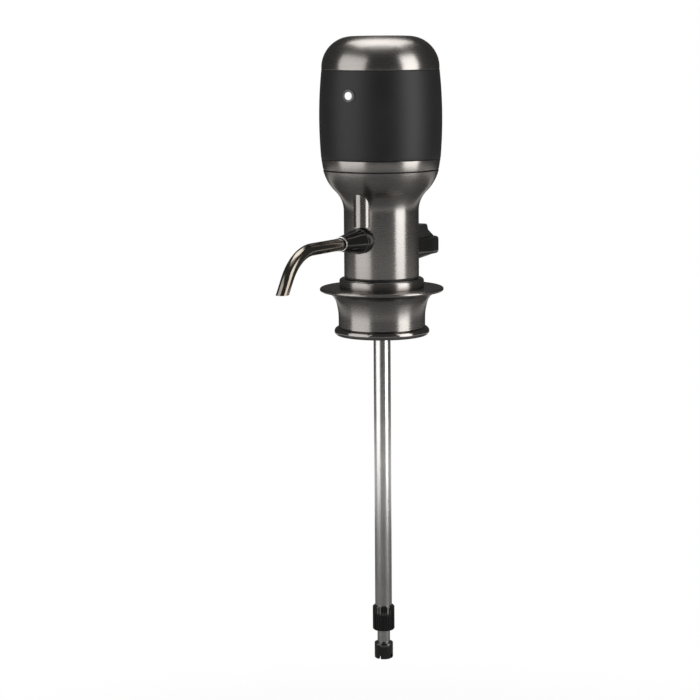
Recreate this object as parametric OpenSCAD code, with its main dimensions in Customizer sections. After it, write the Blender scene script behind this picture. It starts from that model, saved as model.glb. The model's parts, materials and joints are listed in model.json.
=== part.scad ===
// Electric wine aerator that stands on a bottle's mouth.
// The origin is the centre of the bottle's lip, +Z is up, and the spout and the button face -Y.

/* [Bottle fit] */
// Radius of the soft plug in the bottle's mouth
plug_r = 9.25; // [8.8:0.05:9.6]
// Length of the plug below the bottle's lip
plug_len = 13; // [10:0.5:15]
// Thickness of the plug's seat on the lip
plug_seat_t = 3; // [2:0.5:4]
// Inner radius of the skirt around the bottle's finish
skirt_bore_r = 15.2; // [14.8:0.1:16]

/* [Base] */
// Depth of the skirt below the bottle's lip
skirt_drop = 15.85; // [14:0.05:18]
// Outer radius of the skirt
skirt_r = 20.3; // [19:0.1:22]
// Length of the skirt's straight part, from its lowest point
skirt_straight = 7.95; // [6:0.05:9]
// Radius of the long flare that leaves the skirt
flare_long_r = 28; // [24:0.5:34]
// Section radius of the round bead at the skirt's foot
bead_r = 1.95; // [1.5:0.05:2.5]
// Outer radius of the finger flange
flange_r = 29; // [27:0.5:32]
// Thickness of the flange at its rim
flange_t = 1.7; // [1.2:0.1:2.4]
// Height of the flange's top above the bottle's lip
flange_top = 6.6; // [5.5:0.1:8]
// Outer radius of the collar round the neck's foot
collar_r = 19.8; // [19:0.1:22]
// Height of the collar
collar_h = 4.4; // [3.5:0.1:6]
// Radius of the collar's rounded upper edge
collar_edge_r = 1.2; // [0.5:0.1:1.6]
// Width of the dark joint between collar and neck
neck_joint_h = 0.9; // [0.5:0.1:1.5]

/* [Neck and bell] */
// Outer radius of the straight neck
neck_r = 17.5; // [17.1:0.1:18.5]
// Length of the straight neck
neck_len = 30.7; // [28:0.1:36]
// Wall of the neck and bell
neck_wall = 1.6; // [1.2:0.1:2]
// Radius of the hollow curve where the neck opens into the bell
bell_fillet_r = 12.7; // [10:0.1:16]
// Radius of the bell's shoulder curve
bell_shoulder_r = 21; // [19:0.5:24]
// Step from the barrel's greatest radius in to the bell's upper rim
bell_rim_in = 1.65; // [1:0.05:2.4]
// Slope of the bell's side at its upper rim, in degrees
bell_rim_a = 14; // [8:1:20]
// Radius of the half-round column on the neck's front
column_r = 4.1; // [3:0.1:5]
// Distance of the column's axis from the neck's axis
column_y = 16.9; // [16:0.1:18]

/* [Upper housing] */
// Width of the dark seam under the housing
seam_gap = 0.5; // [0.3:0.1:1]
// Height of the trim ring
ring_h = 5.1; // [4:0.1:7]
// Height of the soft grip band
band_h = 41.05; // [38:0.05:48]
// Greatest radius of the barrel
body_r = 28.55; // [28:0.05:30]
// Height of the widest place above the band's lower edge
widest_up = 18.3; // [12:0.1:26]
// Radius of the barrel's upright curve
barrel_arc_r = 215; // [180:5:400]
// Height of the top cap
cap_h = 15.05; // [12:0.05:18]
// Radius of the cap's rounded shoulder
cap_shoulder_r = 14.3; // [10:0.1:16]
// Wall of the cap
cap_wall = 1.4; // [1:0.1:2]
// Thickness of the grip band at the barrel's greatest radius
grip_t = 2.7; // [2.4:0.1:3]
// Wall of the inner sleeve
sleeve_wall = 1.5; // [1.3:0.1:1.8]
// Bevel of the edges along the seams
edge_bevel = 0.35; // [0.2:0.05:0.6]

/* [Button] */
// Height of the button above the band's lower edge
button_up = 29.7; // [20:0.1:36]
// Radius of the lit button
button_r = 1.8; // [1.6:0.05:2.4]
// Outer radius of the bezel
bezel_r = 2.9; // [2.7:0.1:4]
// Distance that the button stands proud of the band
button_proud = 0.9; // [0.6:0.1:1.5]
// Travel of the button
button_travel = 0.8; // [0.4:0.1:1]

/* [Spout] */
// Height of the spout's axis above the neck's lower edge
spout_up = 18.1; // [16:0.1:20]
// Radius of the fitting at its base
fitting_r = 6; // [5:0.1:7]
// Radius of the fitting at its small end
fitting_tip_r = 3.5; // [3.3:0.1:4]
// Length of the fitting's cylindrical base from the neck
fitting_base_len = 4.2; // [3:0.1:6]
// Length of the fitting's taper
fitting_taper_len = 14; // [9:0.5:15]
// Outer radius of the spout tube
spout_r = 2.8; // [2.6:0.1:3]
// Wall of the spout tube
spout_wall = 0.6; // [0.4:0.1:0.9]
// Straight length of the spout tube beyond the fitting
spout_run = 24.8; // [20:0.2:36]
// Bend radius of the spout tube
spout_bend_r = 24.5; // [18:0.1:30]
// Angle of the bend, in degrees
spout_bend_a = 58; // [40:1:70]
// Straight length after the bend
spout_end_len = 7.5; // [5:0.1:16]

/* [Rear lever] */
// Half the width of the rear bracket
bracket_half_w = 10.25; // [9.5:0.05:12]
// Distance of the bracket's end from the neck's axis
bracket_reach = 38; // [34:0.5:42]
// Height of the bracket's side walls
bracket_h = 8.4; // [7.5:0.1:10]
// Wall of the bracket
bracket_wall = 1.65; // [1.4:0.05:2]
// Corner radius of the bracket's end
bracket_corner_r = 2.5; // [2:0.1:6]
// Depth of the gusset below the bracket, at the neck
gusset_h = 1.2; // [0.8:0.1:3]
// Height of the lever's thumb pad above the bracket
lever_h = 6; // [5:0.1:9]
// Length of the thumb pad along the neck's radius
pad_len = 9; // [5:0.1:11]
// Radius of the lever's pin
pin_r = 1; // [0.8:0.1:1.3]
// Number of grip ribs on the thumb pad
rib_count = 4; // [2:1:5]

/* [Dip tube] */
// Outer radius of the fixed dip tube
dip_r = 4; // [3.6:0.1:4.4]
// Wall of the fixed dip tube
dip_wall = 0.8; // [0.6:0.1:1]
// Length of the fixed dip tube below the bottle's lip
dip_len = 150; // [120:1:180]
// Wall of the sliding inner tube
inner_wall = 0.8; // [0.5:0.1:1]
// Length of the sliding inner tube
inner_len = 140; // [130:1:170]
// Length of the inner tube that shows when pushed in
inner_show = 10; // [6:1:16]

/* [Pump] */
// Radius of the pump's body
pump_r = 10.5; // [9.5:0.1:10.6]
// Radius of the motor's can
motor_r = 10.2; // [9:0.1:11]
// Radius of the motor's shaft
shaft_r = 1; // [0.8:0.1:1.2]
// Slope of the crank pin that rocks the wobble plate, in degrees
wobble_a = 6; // [3:0.5:7]

/* [Batteries] */
// Radius of one cell
cell_r = 5.25; // [5:0.05:5.5]
// Length of one cell
cell_len = 44.5; // [43:0.5:46]

/* [Hidden] */

$fn = 96;
arc_fn = 720;
gunmetal = [0.36, 0.34, 0.33];
steel = [0.62, 0.61, 0.6];
soft_black = [0.07, 0.07, 0.075];
gloss_black = [0.03, 0.03, 0.035];
moulded_grey = [0.25, 0.26, 0.28];
seal_black = [0.05, 0.05, 0.05];
brass_tone = [0.72, 0.6, 0.32];
board_green = [0.1, 0.3, 0.18];
lit_white = [0.95, 0.96, 1];

// Clearances
slip = 0.1;
running = 0.05;
loose = 0.3;
over = 1;

function to_hundredth(v) = round(100 * v) / 100;

// Heights of the base
flange_under = flange_top - flange_t;
rim_r = flange_t / 2;
bead_z = bead_r - skirt_drop;
flare_z = skirt_straight - skirt_drop;
rim_x = flange_r - rim_r;
flare_in = skirt_r + flare_long_r - rim_x;
flare_up = flange_under - flare_z;
flare_r = (flare_long_r ^ 2 - flare_in ^ 2 - flare_up ^ 2) / (2 * (flare_long_r - flare_up));
flare_join = flare_long_r / (flare_long_r - flare_r);
flare_join_z = flare_z + flare_join * (flange_under - flare_r - flare_z);
// Ledge where the two flare curves meet
flare_ledge = 0.02;
collar_top = flange_top + collar_h;
neck_z = collar_top + neck_joint_h;

// The bell's two curves touch each other on the line between their centres
bell_z = neck_z + neck_len;
bell_rim_r = body_r - bell_rim_in;
shoulder_x = bell_rim_r - bell_shoulder_r * cos(bell_rim_a);
fillet_x = neck_r + bell_fillet_r;
curves_sum = bell_shoulder_r + bell_fillet_r;
shoulder_z = bell_z + sqrt(curves_sum ^ 2 - (fillet_x - shoulder_x) ^ 2);
seam_z = to_hundredth(shoulder_z - bell_shoulder_r * sin(bell_rim_a));
bell_t = bell_shoulder_r / curves_sum;
touch_z = shoulder_z + bell_t * (bell_z - shoulder_z);
column_rise = 2;
column_top = touch_z + column_rise;
neck_in_r = neck_r - neck_wall;

// Foot of the neck, which stands on the manifold's rim inside the collar
foot_wall = 1.4;
foot_step = 0.9;
foot_r = neck_r - foot_step;
foot_in_r = foot_r - foot_wall;
manifold_rim_t = 1.8;
foot_z = flange_top + manifold_rim_t;
foot_lap = 2;
foot_top = neck_z + foot_lap;
gasket_in = 0.4;

// Upper housing
housing_z = seam_z + seam_gap;
band_z = housing_z + ring_h;
cap_z = band_z + band_h;
top_z = cap_z + cap_h;
widest_z = band_z + widest_up;
sleeve_r = body_r - grip_t;
sleeve_in_r = sleeve_r - sleeve_wall;
cap_spigot_h = 3.3;
sleeve_top = cap_z - cap_spigot_h;
cap_foot = 0.6;
cap_curve_r = min(cap_shoulder_r, cap_h - cap_foot);
button_z = band_z + button_up;
function barrel_r(z) = body_r - barrel_arc_r + sqrt(barrel_arc_r ^ 2 - (z - widest_z) ^ 2);
cap_r = barrel_r(cap_z);
ring_top_r = barrel_r(band_z);
ring_low_r = bell_rim_r;

// Bulkhead and bayonet
bulk_t = 3.2;
bulk_z = seam_z - bulk_t;
bulk_skin = 0.6;
bulk_r = shoulder_x + sqrt((bell_shoulder_r - neck_wall) ^ 2 - (shoulder_z - bulk_z) ^ 2) - slip;
ledge_t = 2;
ledge_w = 3.5;
ledge_in_r = to_hundredth(bulk_r - ledge_w);
spigot_play = 0.5;
spigot_r = sleeve_in_r - spigot_play;
spigot_wall = 1.7;
spigot_h = 4.5;
spigot_top = seam_z + spigot_h;
lug_angles = [90, 210, 330];
lug_half_a = 8;
lug_out = 0.8;
lug_r = spigot_r + lug_out;
lug_up = 1.5;
lug_z = housing_z + lug_up;
lug_h = 2;
twist_a = 30;
lug_play_a = 3;

// Battery cage
plate_t = 2;
contact_h = 4;
contact_t = 0.4;
contact_in = 1;
contact_r = cell_r - contact_in;
spring_taper = 1.4;
cell_count = 6;
// Six cells stand as far from the axis as from each other
cell_gap = 2.35;
cell_pitch_r = 2 * cell_r + cell_gap;
plate_rim = 1;
plate_r = cell_pitch_r + cell_r + plate_rim;
cell_step = 360 / cell_count;
cage_z = seam_z;
cage_top_z = cage_z + plate_t + contact_h + cell_len + contact_t;
cell_z = cage_z + plate_t + contact_h;
core_rim = 2;
core_r = cell_pitch_r + core_rim;
cell_play = 0.2;
cell_bay_r = cell_r + cell_play;
cage_screw_in = 1.9;
cage_screw_y = plate_r - cage_screw_in;
cage_screw_r = 0.9;
cage_head_r = 1.6;
cage_head_h = 1.2;
nub_r = 1.9;
nub_h = 1;

// Control board in front of the cells
board_t = 1.2;
board_half_w = 6;
board_back = cell_pitch_r * cos(cell_step / 2) + cell_r + slip;
board_front = board_back + board_t;
stem_in = 0.6;
stem_end = sleeve_in_r - stem_in;
plunger_end = stem_end - loose;
plunger_out = 1;
switch_front = plunger_end - plunger_out;
switch_half_w = 3;
switch_plunger_r = 1.6;
switch_back_t = 0.8;
led_w = 3;
led_h = 1.6;
led_down = 6;

// Button
button_flange_w = 0.5;
button_flange_r = button_r + button_flange_w;
button_flange_t = 0.6;
bezel_bore_r = button_r + slip;
stem_r = 1;
bezel_front = barrel_r(button_z) + button_proud / 2;
button_front = barrel_r(button_z) + button_proud;
button_stop_gap = 0.35;
flange_front = sleeve_r + button_stop_gap + button_travel + button_flange_t;

// Spout
spout_z = neck_z + spout_up;
line_in = 2.7;
line_y = neck_in_r - line_in;
port_r = 2.9;
port_bore_r = 1.8;
port_len = 7.6;
port_end = neck_r + port_len;
elbow_r = 2.5;
riser_r = 2;
riser_wall = 0.6;
riser_below = 1;
elbow_down = 5;
elbow_up = 3.3;
riser_end = spout_z - riser_below;
elbow_low = spout_z - elbow_down;
elbow_top = spout_z + elbow_up;
seal_wire_r = 0.32;
seal_groove_t = 0.5;
seal_groove_r = port_r - seal_groove_t;
seal_in = 2.2;
seal_y = port_end - seal_in;
fitting_base_y = neck_r + fitting_base_len;
fitting_tip_y = fitting_base_y + fitting_taper_len;
port_play = 0.2;
fitting_bore_r = port_r + port_play;
fitting_lip = 0.3;
spout_back_gap = 0.6;
spout_back_y = port_end + spout_back_gap;
ring_len = 0.8;
ring_t = 0.4;
ring_gap = 0.25;
ring_bore_r = spout_r + ring_gap;
spout_ring_r = ring_bore_r + ring_t;
spout_lap = 0.4;
spout_step = 0.02;
bend_y = fitting_tip_y + spout_run;
spout_cut_z = spout_z - spout_bend_r * (1 - cos(spout_bend_a)) - spout_end_len * sin(spout_bend_a);

// Manifold and dip tube
manifold_r = skirt_bore_r - slip;
manifold_up = 5;
manifold_top = collar_top + manifold_up;
dip_socket_up = 0.6;
dip_socket_top = foot_z + dip_socket_up;
wine_bore_r = 1.6;
wine_up = 2;
wine_z = dip_socket_top + wine_up;
air_in = 2.7;
air_x = plug_r - air_in;
air_bore_r = 0.9;
vent_r = 0.9;
vent_up = 2.2;
vent_z = foot_z + vent_up;
dip_in_r = dip_r - dip_wall;
inner_play = 0.2;
inner_r = dip_in_r - inner_play;
gland_wall = 1.2;
gland_r = dip_r + gland_wall;
gland_up = 4;
gland_down = 8;
gland_top = -dip_len + gland_up;
gland_low = -dip_len - gland_down;
gland_bore_r = inner_r + running;
gland_seal_r = 0.4;
gland_groove_h = 2;
gland_seal_z = -dip_len - gland_down / 2;
inner_low = gland_low - inner_show;
inner_top = inner_low + inner_len;
stop_h = 3;
tip_len = 8;
tip_socket = 4;
tip_wall = 1.4;
tip_r = inner_r + tip_wall;
tip_slot_w = 1.6;
tip_slot_h = 2.5;

// Pump, from its cover upward
hose_gap = 4;
cover_z = manifold_top + hose_gap;
cover_t = 4;
valve_z = cover_z + cover_t;
valve_t = 2.5;
diaphragm_z = valve_z + valve_t;
diaphragm_t = 1;
housing_low = diaphragm_z + diaphragm_t;
housing_h = 10.5;
housing_lid_t = 1.5;
pump_wall = 2.5;
chamber_r = pump_r - pump_wall;
motor_z = housing_low + housing_h;
motor_cap_t = 2;
motor_gap = 0.8;
motor_top = seam_z - motor_gap;
motor_can_top = motor_top - motor_cap_t;
motor_cap_in = 0.5;
nipple_r = 1.3;
nipple_len = 3;
hose_r = 2.2;
hose_in = 4;
hose_z = manifold_top - hose_in;
wobble_up = 2.6;
wobble_z = housing_low + wobble_up;
crank_up = 2.2;
crank_z = wobble_z + crank_up;
crank_h = 3.6;
crank_r = 4;
crank_pin_r = 0.8;
crank_pin_lap = 1;
shaft_seat = 1.4;
shaft_z = crank_z + shaft_seat;
shaft_in = 6;
shaft_top = motor_z + shaft_in;
arm_in = 2.6;
arm_r = chamber_r - arm_in;
arm_end_r = 1.4;
arm_stem_r = 1;
plate_half_t = 0.6;
pump_screw_in = 1.25;
pump_screw_y = pump_r - pump_screw_in;
pump_screw_bite = 5;
pump_screw_r = 0.6;
pump_screw_a = 60;
pump_head_r = 1.2;
pump_head_h = 0.9;

// Rear bracket, lever and vent
bracket_down = 10.5;
bracket_z = spout_z - bracket_down;
bracket_top = bracket_z + bracket_h;
bracket_floor_t = 2.8;
bracket_floor = bracket_z + bracket_floor_t;
trough_half_w = bracket_half_w - bracket_wall;
trough_wall = 1.7;
trough_y = neck_r + trough_wall;
trough_end = bracket_reach - bracket_wall;
lever_side_gap = 0.4;
lever_half_w = trough_half_w - lever_side_gap;
lever_gap = 0.8;
lever_y = trough_y + lever_gap;
lever_up = 3.7;
lever_low = bracket_floor + lever_up;
lever_top = bracket_top + lever_h;
lever_edge = 0.4;
pad_lean = 0.8;
pad_drop = 2.4;
pin_boss_t = 1.4;
pin_boss_r = pin_r + pin_boss_t;
boss_gap = 0.5;
pin_y = trough_end - pin_boss_r - boss_gap;
pin_z = bracket_top - pin_boss_r - slip;
pin_cover = 0.6;
pin_half_len = bracket_half_w - pin_cover;
slope_past = 1.6;
slope_end_y = pin_y + slope_past;
rib_r = 0.45;
lever_spring_r = 1.6;
lever_spring_wall = 0.5;
lever_spring_in = 3.3;
lever_spring_x = trough_half_w - lever_spring_in;
lever_spring_back = 2.4;
lever_spring_y = lever_y + lever_spring_back;
vent_arm = 5.15;
valve_y = pin_y - vent_arm;
valve_r = 2.4;
valve_h = 1.9;
valve_top = bracket_floor + valve_h;
plunger_r = 1.2;
plunger_seat = 0.8;
plunger_low = bracket_floor + plunger_seat;
plunger_lift = 0.4;
plunger_top = lever_low - loose;
vent_pipe_up = 1;
vent_lap = 1;
vent_pipe_z = bracket_floor + vent_pipe_up;
screw_in = 2.75;
screw_x = bracket_half_w - screw_in;
screw_up = 2.2;
screw_z = bracket_floor + screw_up;
screw_tip = 0.4;
screw_r = 0.9;
screw_head_r = 1.4;
screw_head_h = 1.2;
screw_seat_y = sqrt(neck_in_r ^ 2 - (screw_x + screw_head_r) ^ 2) - slip;

// Repeated shapes
module disc(r, z0, z1) {
    translate([0, 0, z0]) cylinder(r = r, h = z1 - z0);
}

module tube(r, bore_r, z0, z1) {
    difference() {
        disc(r, z0, z1);
        disc(bore_r, z0 - over, z1 + over);
    }
}

module o_ring(ring_r, wire_r, z) {
    translate([0, 0, z]) rotate_extrude() translate([ring_r, 0]) circle(r = wire_r, $fn = 32);
}

// A round bar along Y between two distances; front bars run along -Y
module bar(r, y0, y1) {
    translate([0, y0, 0]) rotate([-90, 0, 0]) cylinder(r = r, h = y1 - y0);
}

module front_bar(r, y0, y1) {
    bar(r, -y1, -y0);
}

module around(count, start = 0) {
    for (i = [0 : count - 1]) rotate([0, 0, start + i * 360 / count]) children();
}

// A ring sector between two angles
module sector(r, bore_r, z0, z1, a0, a1) {
    translate([0, 0, z0])
        rotate([0, 0, a0])
            rotate_extrude(angle = a1 - a0)
                translate([bore_r, 0]) square([r - bore_r, z1 - z0]);
}

// Base that goes over the bottle's finish
module skirt_profile() {
    difference() {
        union() {
            translate([0, -skirt_drop]) square([skirt_r, skirt_drop]);
            translate([0, flare_z]) square([rim_x, flange_top - flare_z]);
            translate([skirt_r, bead_z]) circle(r = bead_r);
            translate([rim_x, flange_top - rim_r]) circle(r = rim_r);
        }
        intersection() {
            translate([skirt_r + flare_long_r, flare_z]) circle(r = flare_long_r, $fn = arc_fn);
            translate([skirt_r, flare_z - over]) square([flange_r, flare_join_z - flare_z + over]);
        }
        intersection() {
            translate([rim_x, flange_under - flare_r + flare_ledge])
                circle(r = flare_r - flare_ledge, $fn = arc_fn);
            translate([skirt_r, flare_join_z - over])
                square([rim_x - skirt_r, flange_under - flare_join_z + over]);
        }
        translate([0, -skirt_drop - over]) square([skirt_bore_r, skirt_drop + flange_top + 2 * over]);
    }
}

module base_skirt() {
    color(gunmetal) rotate_extrude($fn = 180) skirt_profile();
}

module base_collar() {
    color(gunmetal)
        rotate_extrude()
            difference() {
                union() {
                    translate([0, flange_top]) square([collar_r, collar_h - collar_edge_r]);
                    translate([0, flange_top]) square([collar_r - collar_edge_r, collar_h]);
                    translate([collar_r - collar_edge_r, collar_top - collar_edge_r])
                        circle(r = collar_edge_r);
                }
                translate([0, flange_top - over]) square([foot_r + slip, collar_h + 2 * over]);
            }
}

module neck_gasket() {
    color(seal_black) tube(neck_r - gasket_in, foot_r, collar_top, neck_z);
}

module bottle_plug() {
    chamfer = 1.5;
    color(seal_black)
        difference() {
            union() {
                disc(skirt_bore_r - slip, 0, plug_seat_t);
                disc(plug_r, chamfer - plug_len, 0);
                translate([0, 0, -plug_len]) cylinder(r1 = plug_r - chamfer, r2 = plug_r, h = chamfer);
            }
            disc(dip_r + running, -plug_len - over, plug_seat_t + over);
            translate([air_x, 0, 0]) disc(air_bore_r, -plug_len - over, plug_seat_t + over);
            translate([0, air_x, 0]) disc(air_bore_r, -plug_len - over, plug_seat_t + over);
        }
}

module manifold() {
    color(moulded_grey)
        difference() {
            union() {
                disc(manifold_r, plug_seat_t, flange_top);
                disc(foot_r, flange_top, foot_z);
                disc(foot_in_r - slip, foot_z, manifold_top);
            }
            disc(dip_r + running, plug_seat_t - over, dip_socket_top);
            disc(dip_in_r, dip_socket_top - over, wine_z);
            translate([0, 0, wine_z]) front_bar(wine_bore_r, 0, line_y);
            translate([0, -line_y, 0]) disc(riser_r + running, wine_z, manifold_top + over);
            translate([air_x, 0, 0]) disc(air_bore_r, plug_seat_t - over, manifold_top);
            translate([air_x, 0, 0]) disc(hose_r + running, hose_z, manifold_top + over);
            translate([0, air_x, 0]) disc(vent_r, plug_seat_t - over, vent_z);
            translate([0, 0, vent_z]) bar(vent_r, air_x, line_y);
            translate([0, line_y, 0]) disc(vent_r + running, vent_z, manifold_top + over);
        }
}

// Telescopic dip tube
module dip_tube() {
    color(steel) tube(dip_r, dip_in_r, -dip_len, dip_socket_top);
}

module tube_gland() {
    color(gloss_black)
        difference() {
            disc(gland_r, gland_low, gland_top);
            disc(dip_r, -dip_len, gland_top + over);
            disc(gland_bore_r, gland_low - over, -dip_len + over);
            disc(gland_bore_r + 2 * gland_seal_r, gland_seal_z - gland_groove_h / 2,
                 gland_seal_z + gland_groove_h / 2);
        }
}

module slide_seal() {
    color(seal_black) o_ring(gland_bore_r + gland_seal_r, gland_seal_r, gland_seal_z);
}

module inner_tube() {
    color(steel) tube(inner_r, inner_r - inner_wall, inner_low, inner_top);
}

module stop_ring() {
    color(seal_black) tube(dip_in_r - running, inner_r, inner_top - stop_h, inner_top);
}

module intake_tip() {
    low = inner_low - tip_len + tip_socket;
    color(gloss_black)
        difference() {
            disc(tip_r, low, inner_low + tip_socket);
            disc(inner_r, inner_low, inner_low + tip_socket + over);
            disc(inner_r - inner_wall, low - over, inner_low + over);
            for (a = [0, 90])
                rotate([0, 0, a])
                    translate([-tip_slot_w / 2, -tip_r - over, low - over])
                        cube([tip_slot_w, 2 * (tip_r + over), tip_slot_h + over]);
        }
}

// Neck and bell; inset moves every surface inward by the same distance
module bell_profile(inset) {
    shoulder = bell_shoulder_r - inset;
    fillet = bell_fillet_r + inset;
    x = shoulder_x + shoulder / curves_sum * (fillet_x - shoulder_x);
    z = shoulder_z + shoulder / curves_sum * (bell_z - shoulder_z);
    difference() {
        translate([0, bell_z]) square([x, z - bell_z]);
        translate([fillet_x, bell_z]) circle(r = fillet, $fn = arc_fn);
    }
    intersection() {
        translate([shoulder_x, shoulder_z]) circle(r = shoulder, $fn = arc_fn);
        translate([0, z]) square([body_r, seam_z - z]);
    }
}

module neck_outside() {
    rotate_extrude($fn = 180) {
        translate([0, neck_z]) square([neck_r, bell_z - neck_z]);
        bell_profile(0);
    }
    translate([0, -column_y, 0]) disc(column_r, spout_z + fitting_r + loose, column_top);
}

module neck_inside() {
    rotate_extrude($fn = 180) {
        translate([0, foot_top]) square([neck_in_r, bell_z - foot_top]);
        bell_profile(neck_wall);
        translate([0, seam_z - over / 2]) square([bulk_r + slip, over]);
    }
}

module bulkhead_ledge() {
    rotate_extrude($fn = 180)
        intersection() {
            bell_profile(neck_wall / 2);
            translate([ledge_in_r, bulk_z - ledge_t]) square([body_r, ledge_t]);
        }
}

module neck_shell() {
    color(gunmetal)
        difference() {
            union() {
                difference() {
                    neck_outside();
                    neck_inside();
                }
                disc(foot_r, foot_z, foot_top);
                bulkhead_ledge();
            }
            disc(foot_in_r, foot_z - over, foot_top + over);
            translate([0, 0, spout_z]) front_bar(port_r + running, 0, neck_r + column_r);
            translate([0, 0, vent_pipe_z]) bar(vent_r + running, 0, neck_r + over);
            for (side = [-1, 1])
                translate([side * screw_x, 0, screw_z]) bar(screw_r + running, 0, neck_r + over);
        }
}

// Wine's way to the spout
module wine_riser() {
    color(lit_white) translate([0, -line_y, 0]) tube(riser_r, riser_r - riser_wall, wine_z, riser_end);
}

module spout_port() {
    color(gloss_black)
        difference() {
            union() {
                translate([0, -line_y, 0]) disc(elbow_r, elbow_low, elbow_top);
                translate([0, 0, spout_z]) front_bar(port_r, line_y, port_end);
            }
            translate([0, -line_y, 0]) disc(riser_r, elbow_low - over, riser_end);
            translate([0, -line_y, 0]) disc(riser_r - riser_wall, elbow_low, spout_z);
            translate([0, 0, spout_z]) front_bar(port_bore_r, line_y, port_end + over);
            translate([0, 0, spout_z])
                difference() {
                    front_bar(port_r + over, seal_y - 2 * seal_wire_r, seal_y + 2 * seal_wire_r);
                    front_bar(seal_groove_r, line_y, port_end);
                }
        }
}

module spout_seal() {
    color(seal_black)
        translate([0, -seal_y, spout_z])
            rotate([90, 0, 0]) o_ring(seal_groove_r + seal_wire_r, seal_wire_r, 0);
}

module spout_fitting() {
    color(gloss_black)
        difference() {
            translate([0, 0, spout_z]) {
                front_bar(fitting_r, neck_in_r, fitting_base_y);
                translate([0, -fitting_base_y, 0])
                    rotate([90, 0, 0])
                        cylinder(r1 = fitting_r - fitting_lip, r2 = fitting_tip_r, h = fitting_taper_len);
            }
            disc(neck_r + loose, spout_z - fitting_r - over, spout_z + fitting_r + over);
            translate([0, 0, spout_z]) front_bar(fitting_bore_r, 0, spout_back_y);
            translate([0, 0, spout_z]) front_bar(spout_r, 0, fitting_tip_y + over);
        }
}

module spout_ring() {
    color(steel)
        translate([0, 0, spout_z])
            difference() {
                front_bar(spout_ring_r, fitting_tip_y, fitting_tip_y + ring_len);
                front_bar(ring_bore_r, 0, fitting_tip_y + 2 * ring_len);
            }
}

// Bent tube from the fitting to the tip, cut level at its end; the tip's length laps into the bend
module spout_section(inset) {
    difference() {
        circle(r = spout_r - inset, $fn = 48);
        circle(r = spout_r - spout_wall + inset, $fn = 48);
    }
}

module spout_tube() {
    spare = 3 * spout_r;
    reach = bend_y + 4 * (spout_bend_r + spout_end_len);
    color(steel)
        difference() {
            union() {
                translate([0, -spout_back_y, spout_z])
                    rotate([90, 0, 0]) linear_extrude(bend_y - spout_back_y) spout_section(0);
                translate([0, -bend_y, spout_z - spout_bend_r]) {
                    rotate([180, -90, 0])
                        rotate_extrude(angle = spout_bend_a)
                            translate([spout_bend_r, 0]) spout_section(0);
                    rotate([spout_bend_a, 0, 0])
                        translate([0, spout_lap, spout_bend_r])
                            rotate([90, 0, 0])
                                linear_extrude(spout_lap + spout_end_len + spare) spout_section(spout_step);
                }
            }
            translate([-reach / 2, -reach, spout_cut_z - reach]) cube(reach);
        }
}

// Air pump
module pump_screw_holes(z0, z1) {
    around(3, pump_screw_a) translate([pump_screw_y, 0, 0]) disc(pump_screw_r + running, z0, z1);
}

module pump_cover() {
    color(moulded_grey)
        difference() {
            union() {
                disc(pump_r, cover_z, valve_z);
                translate([air_x, 0, 0]) disc(nipple_r, cover_z - nipple_len, cover_z + over);
            }
            translate([air_x, 0, 0]) disc(nipple_r / 2, cover_z - nipple_len - over, valve_z - over);
            disc(chamber_r, valve_z - over, valve_z + over);
            pump_screw_holes(cover_z - over, valve_z + over);
        }
}

module valve_plate() {
    color(gloss_black)
        difference() {
            disc(pump_r, valve_z, diaphragm_z);
            around(3) translate([arm_r, 0, 0]) disc(nipple_r / 2, valve_z - over, diaphragm_z + over);
            pump_screw_holes(valve_z - over, diaphragm_z + over);
        }
}

// Underside of the tilted wobble plate at a place along X
function plate_under(x) = wobble_z - tan(wobble_a) * x - plate_half_t / cos(wobble_a);

module diaphragm() {
    stem_gap = 0.3;
    color(seal_black)
        difference() {
            union() {
                disc(pump_r, diaphragm_z, housing_low);
                for (a = [0, 120, 240])
                    rotate([0, 0, a]) {
                        stem_top = plate_under((arm_r + arm_stem_r) * cos(a)) - stem_gap;
                        translate([arm_r, 0, 0]) disc(arm_stem_r, diaphragm_z, stem_top);
                    }
            }
            pump_screw_holes(diaphragm_z - over, housing_low + over);
        }
}

module pump_housing() {
    color(moulded_grey)
        difference() {
            disc(pump_r, housing_low, motor_z);
            disc(chamber_r, housing_low - over, motor_z - housing_lid_t);
            disc(shaft_r + loose, housing_low, motor_z + over);
            pump_screw_holes(housing_low - over, motor_z - housing_lid_t);
        }
}

module on_crank_pin() {
    translate([0, 0, wobble_z]) rotate([0, wobble_a, 0]) children();
}

module wobble_plate() {
    hub_r = 2;
    hub_top = 1.5;
    color(lit_white)
        on_crank_pin()
            difference() {
                union() {
                    disc(hub_r, -plate_half_t, hub_top);
                    for (a = [0, 120, 240])
                        rotate([0, 0, a]) {
                            translate([0, -arm_stem_r, -plate_half_t])
                                cube([arm_r, 2 * arm_stem_r, 2 * plate_half_t]);
                            translate([arm_r, 0, 0]) disc(arm_end_r, -plate_half_t, plate_half_t);
                        }
                }
                disc(crank_pin_r + running, -hub_top - over, hub_top + over);
            }
}

module crank() {
    color(steel)
        difference() {
            union() {
                disc(crank_r, crank_z, crank_z + crank_h);
                on_crank_pin() disc(crank_pin_r, -plate_half_t, crank_up + crank_pin_lap);
            }
            disc(shaft_r, shaft_z, crank_z + crank_h + over);
        }
}

module motor_shaft() {
    color(steel) disc(shaft_r, shaft_z, shaft_top);
}

module motor_can() {
    color(steel)
        difference() {
            disc(motor_r, motor_z, motor_can_top);
            disc(shaft_r + running, motor_z - over, shaft_top + over);
        }
}

module motor_cap() {
    color(gloss_black) disc(motor_r - motor_cap_in, motor_can_top, motor_top);
}

module pump_screws() {
    color(steel)
        around(3, pump_screw_a)
            translate([pump_screw_y, 0, 0]) {
                disc(pump_screw_r, cover_z, housing_low + pump_screw_bite);
                disc(pump_head_r, cover_z - pump_head_h, cover_z);
            }
}

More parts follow.
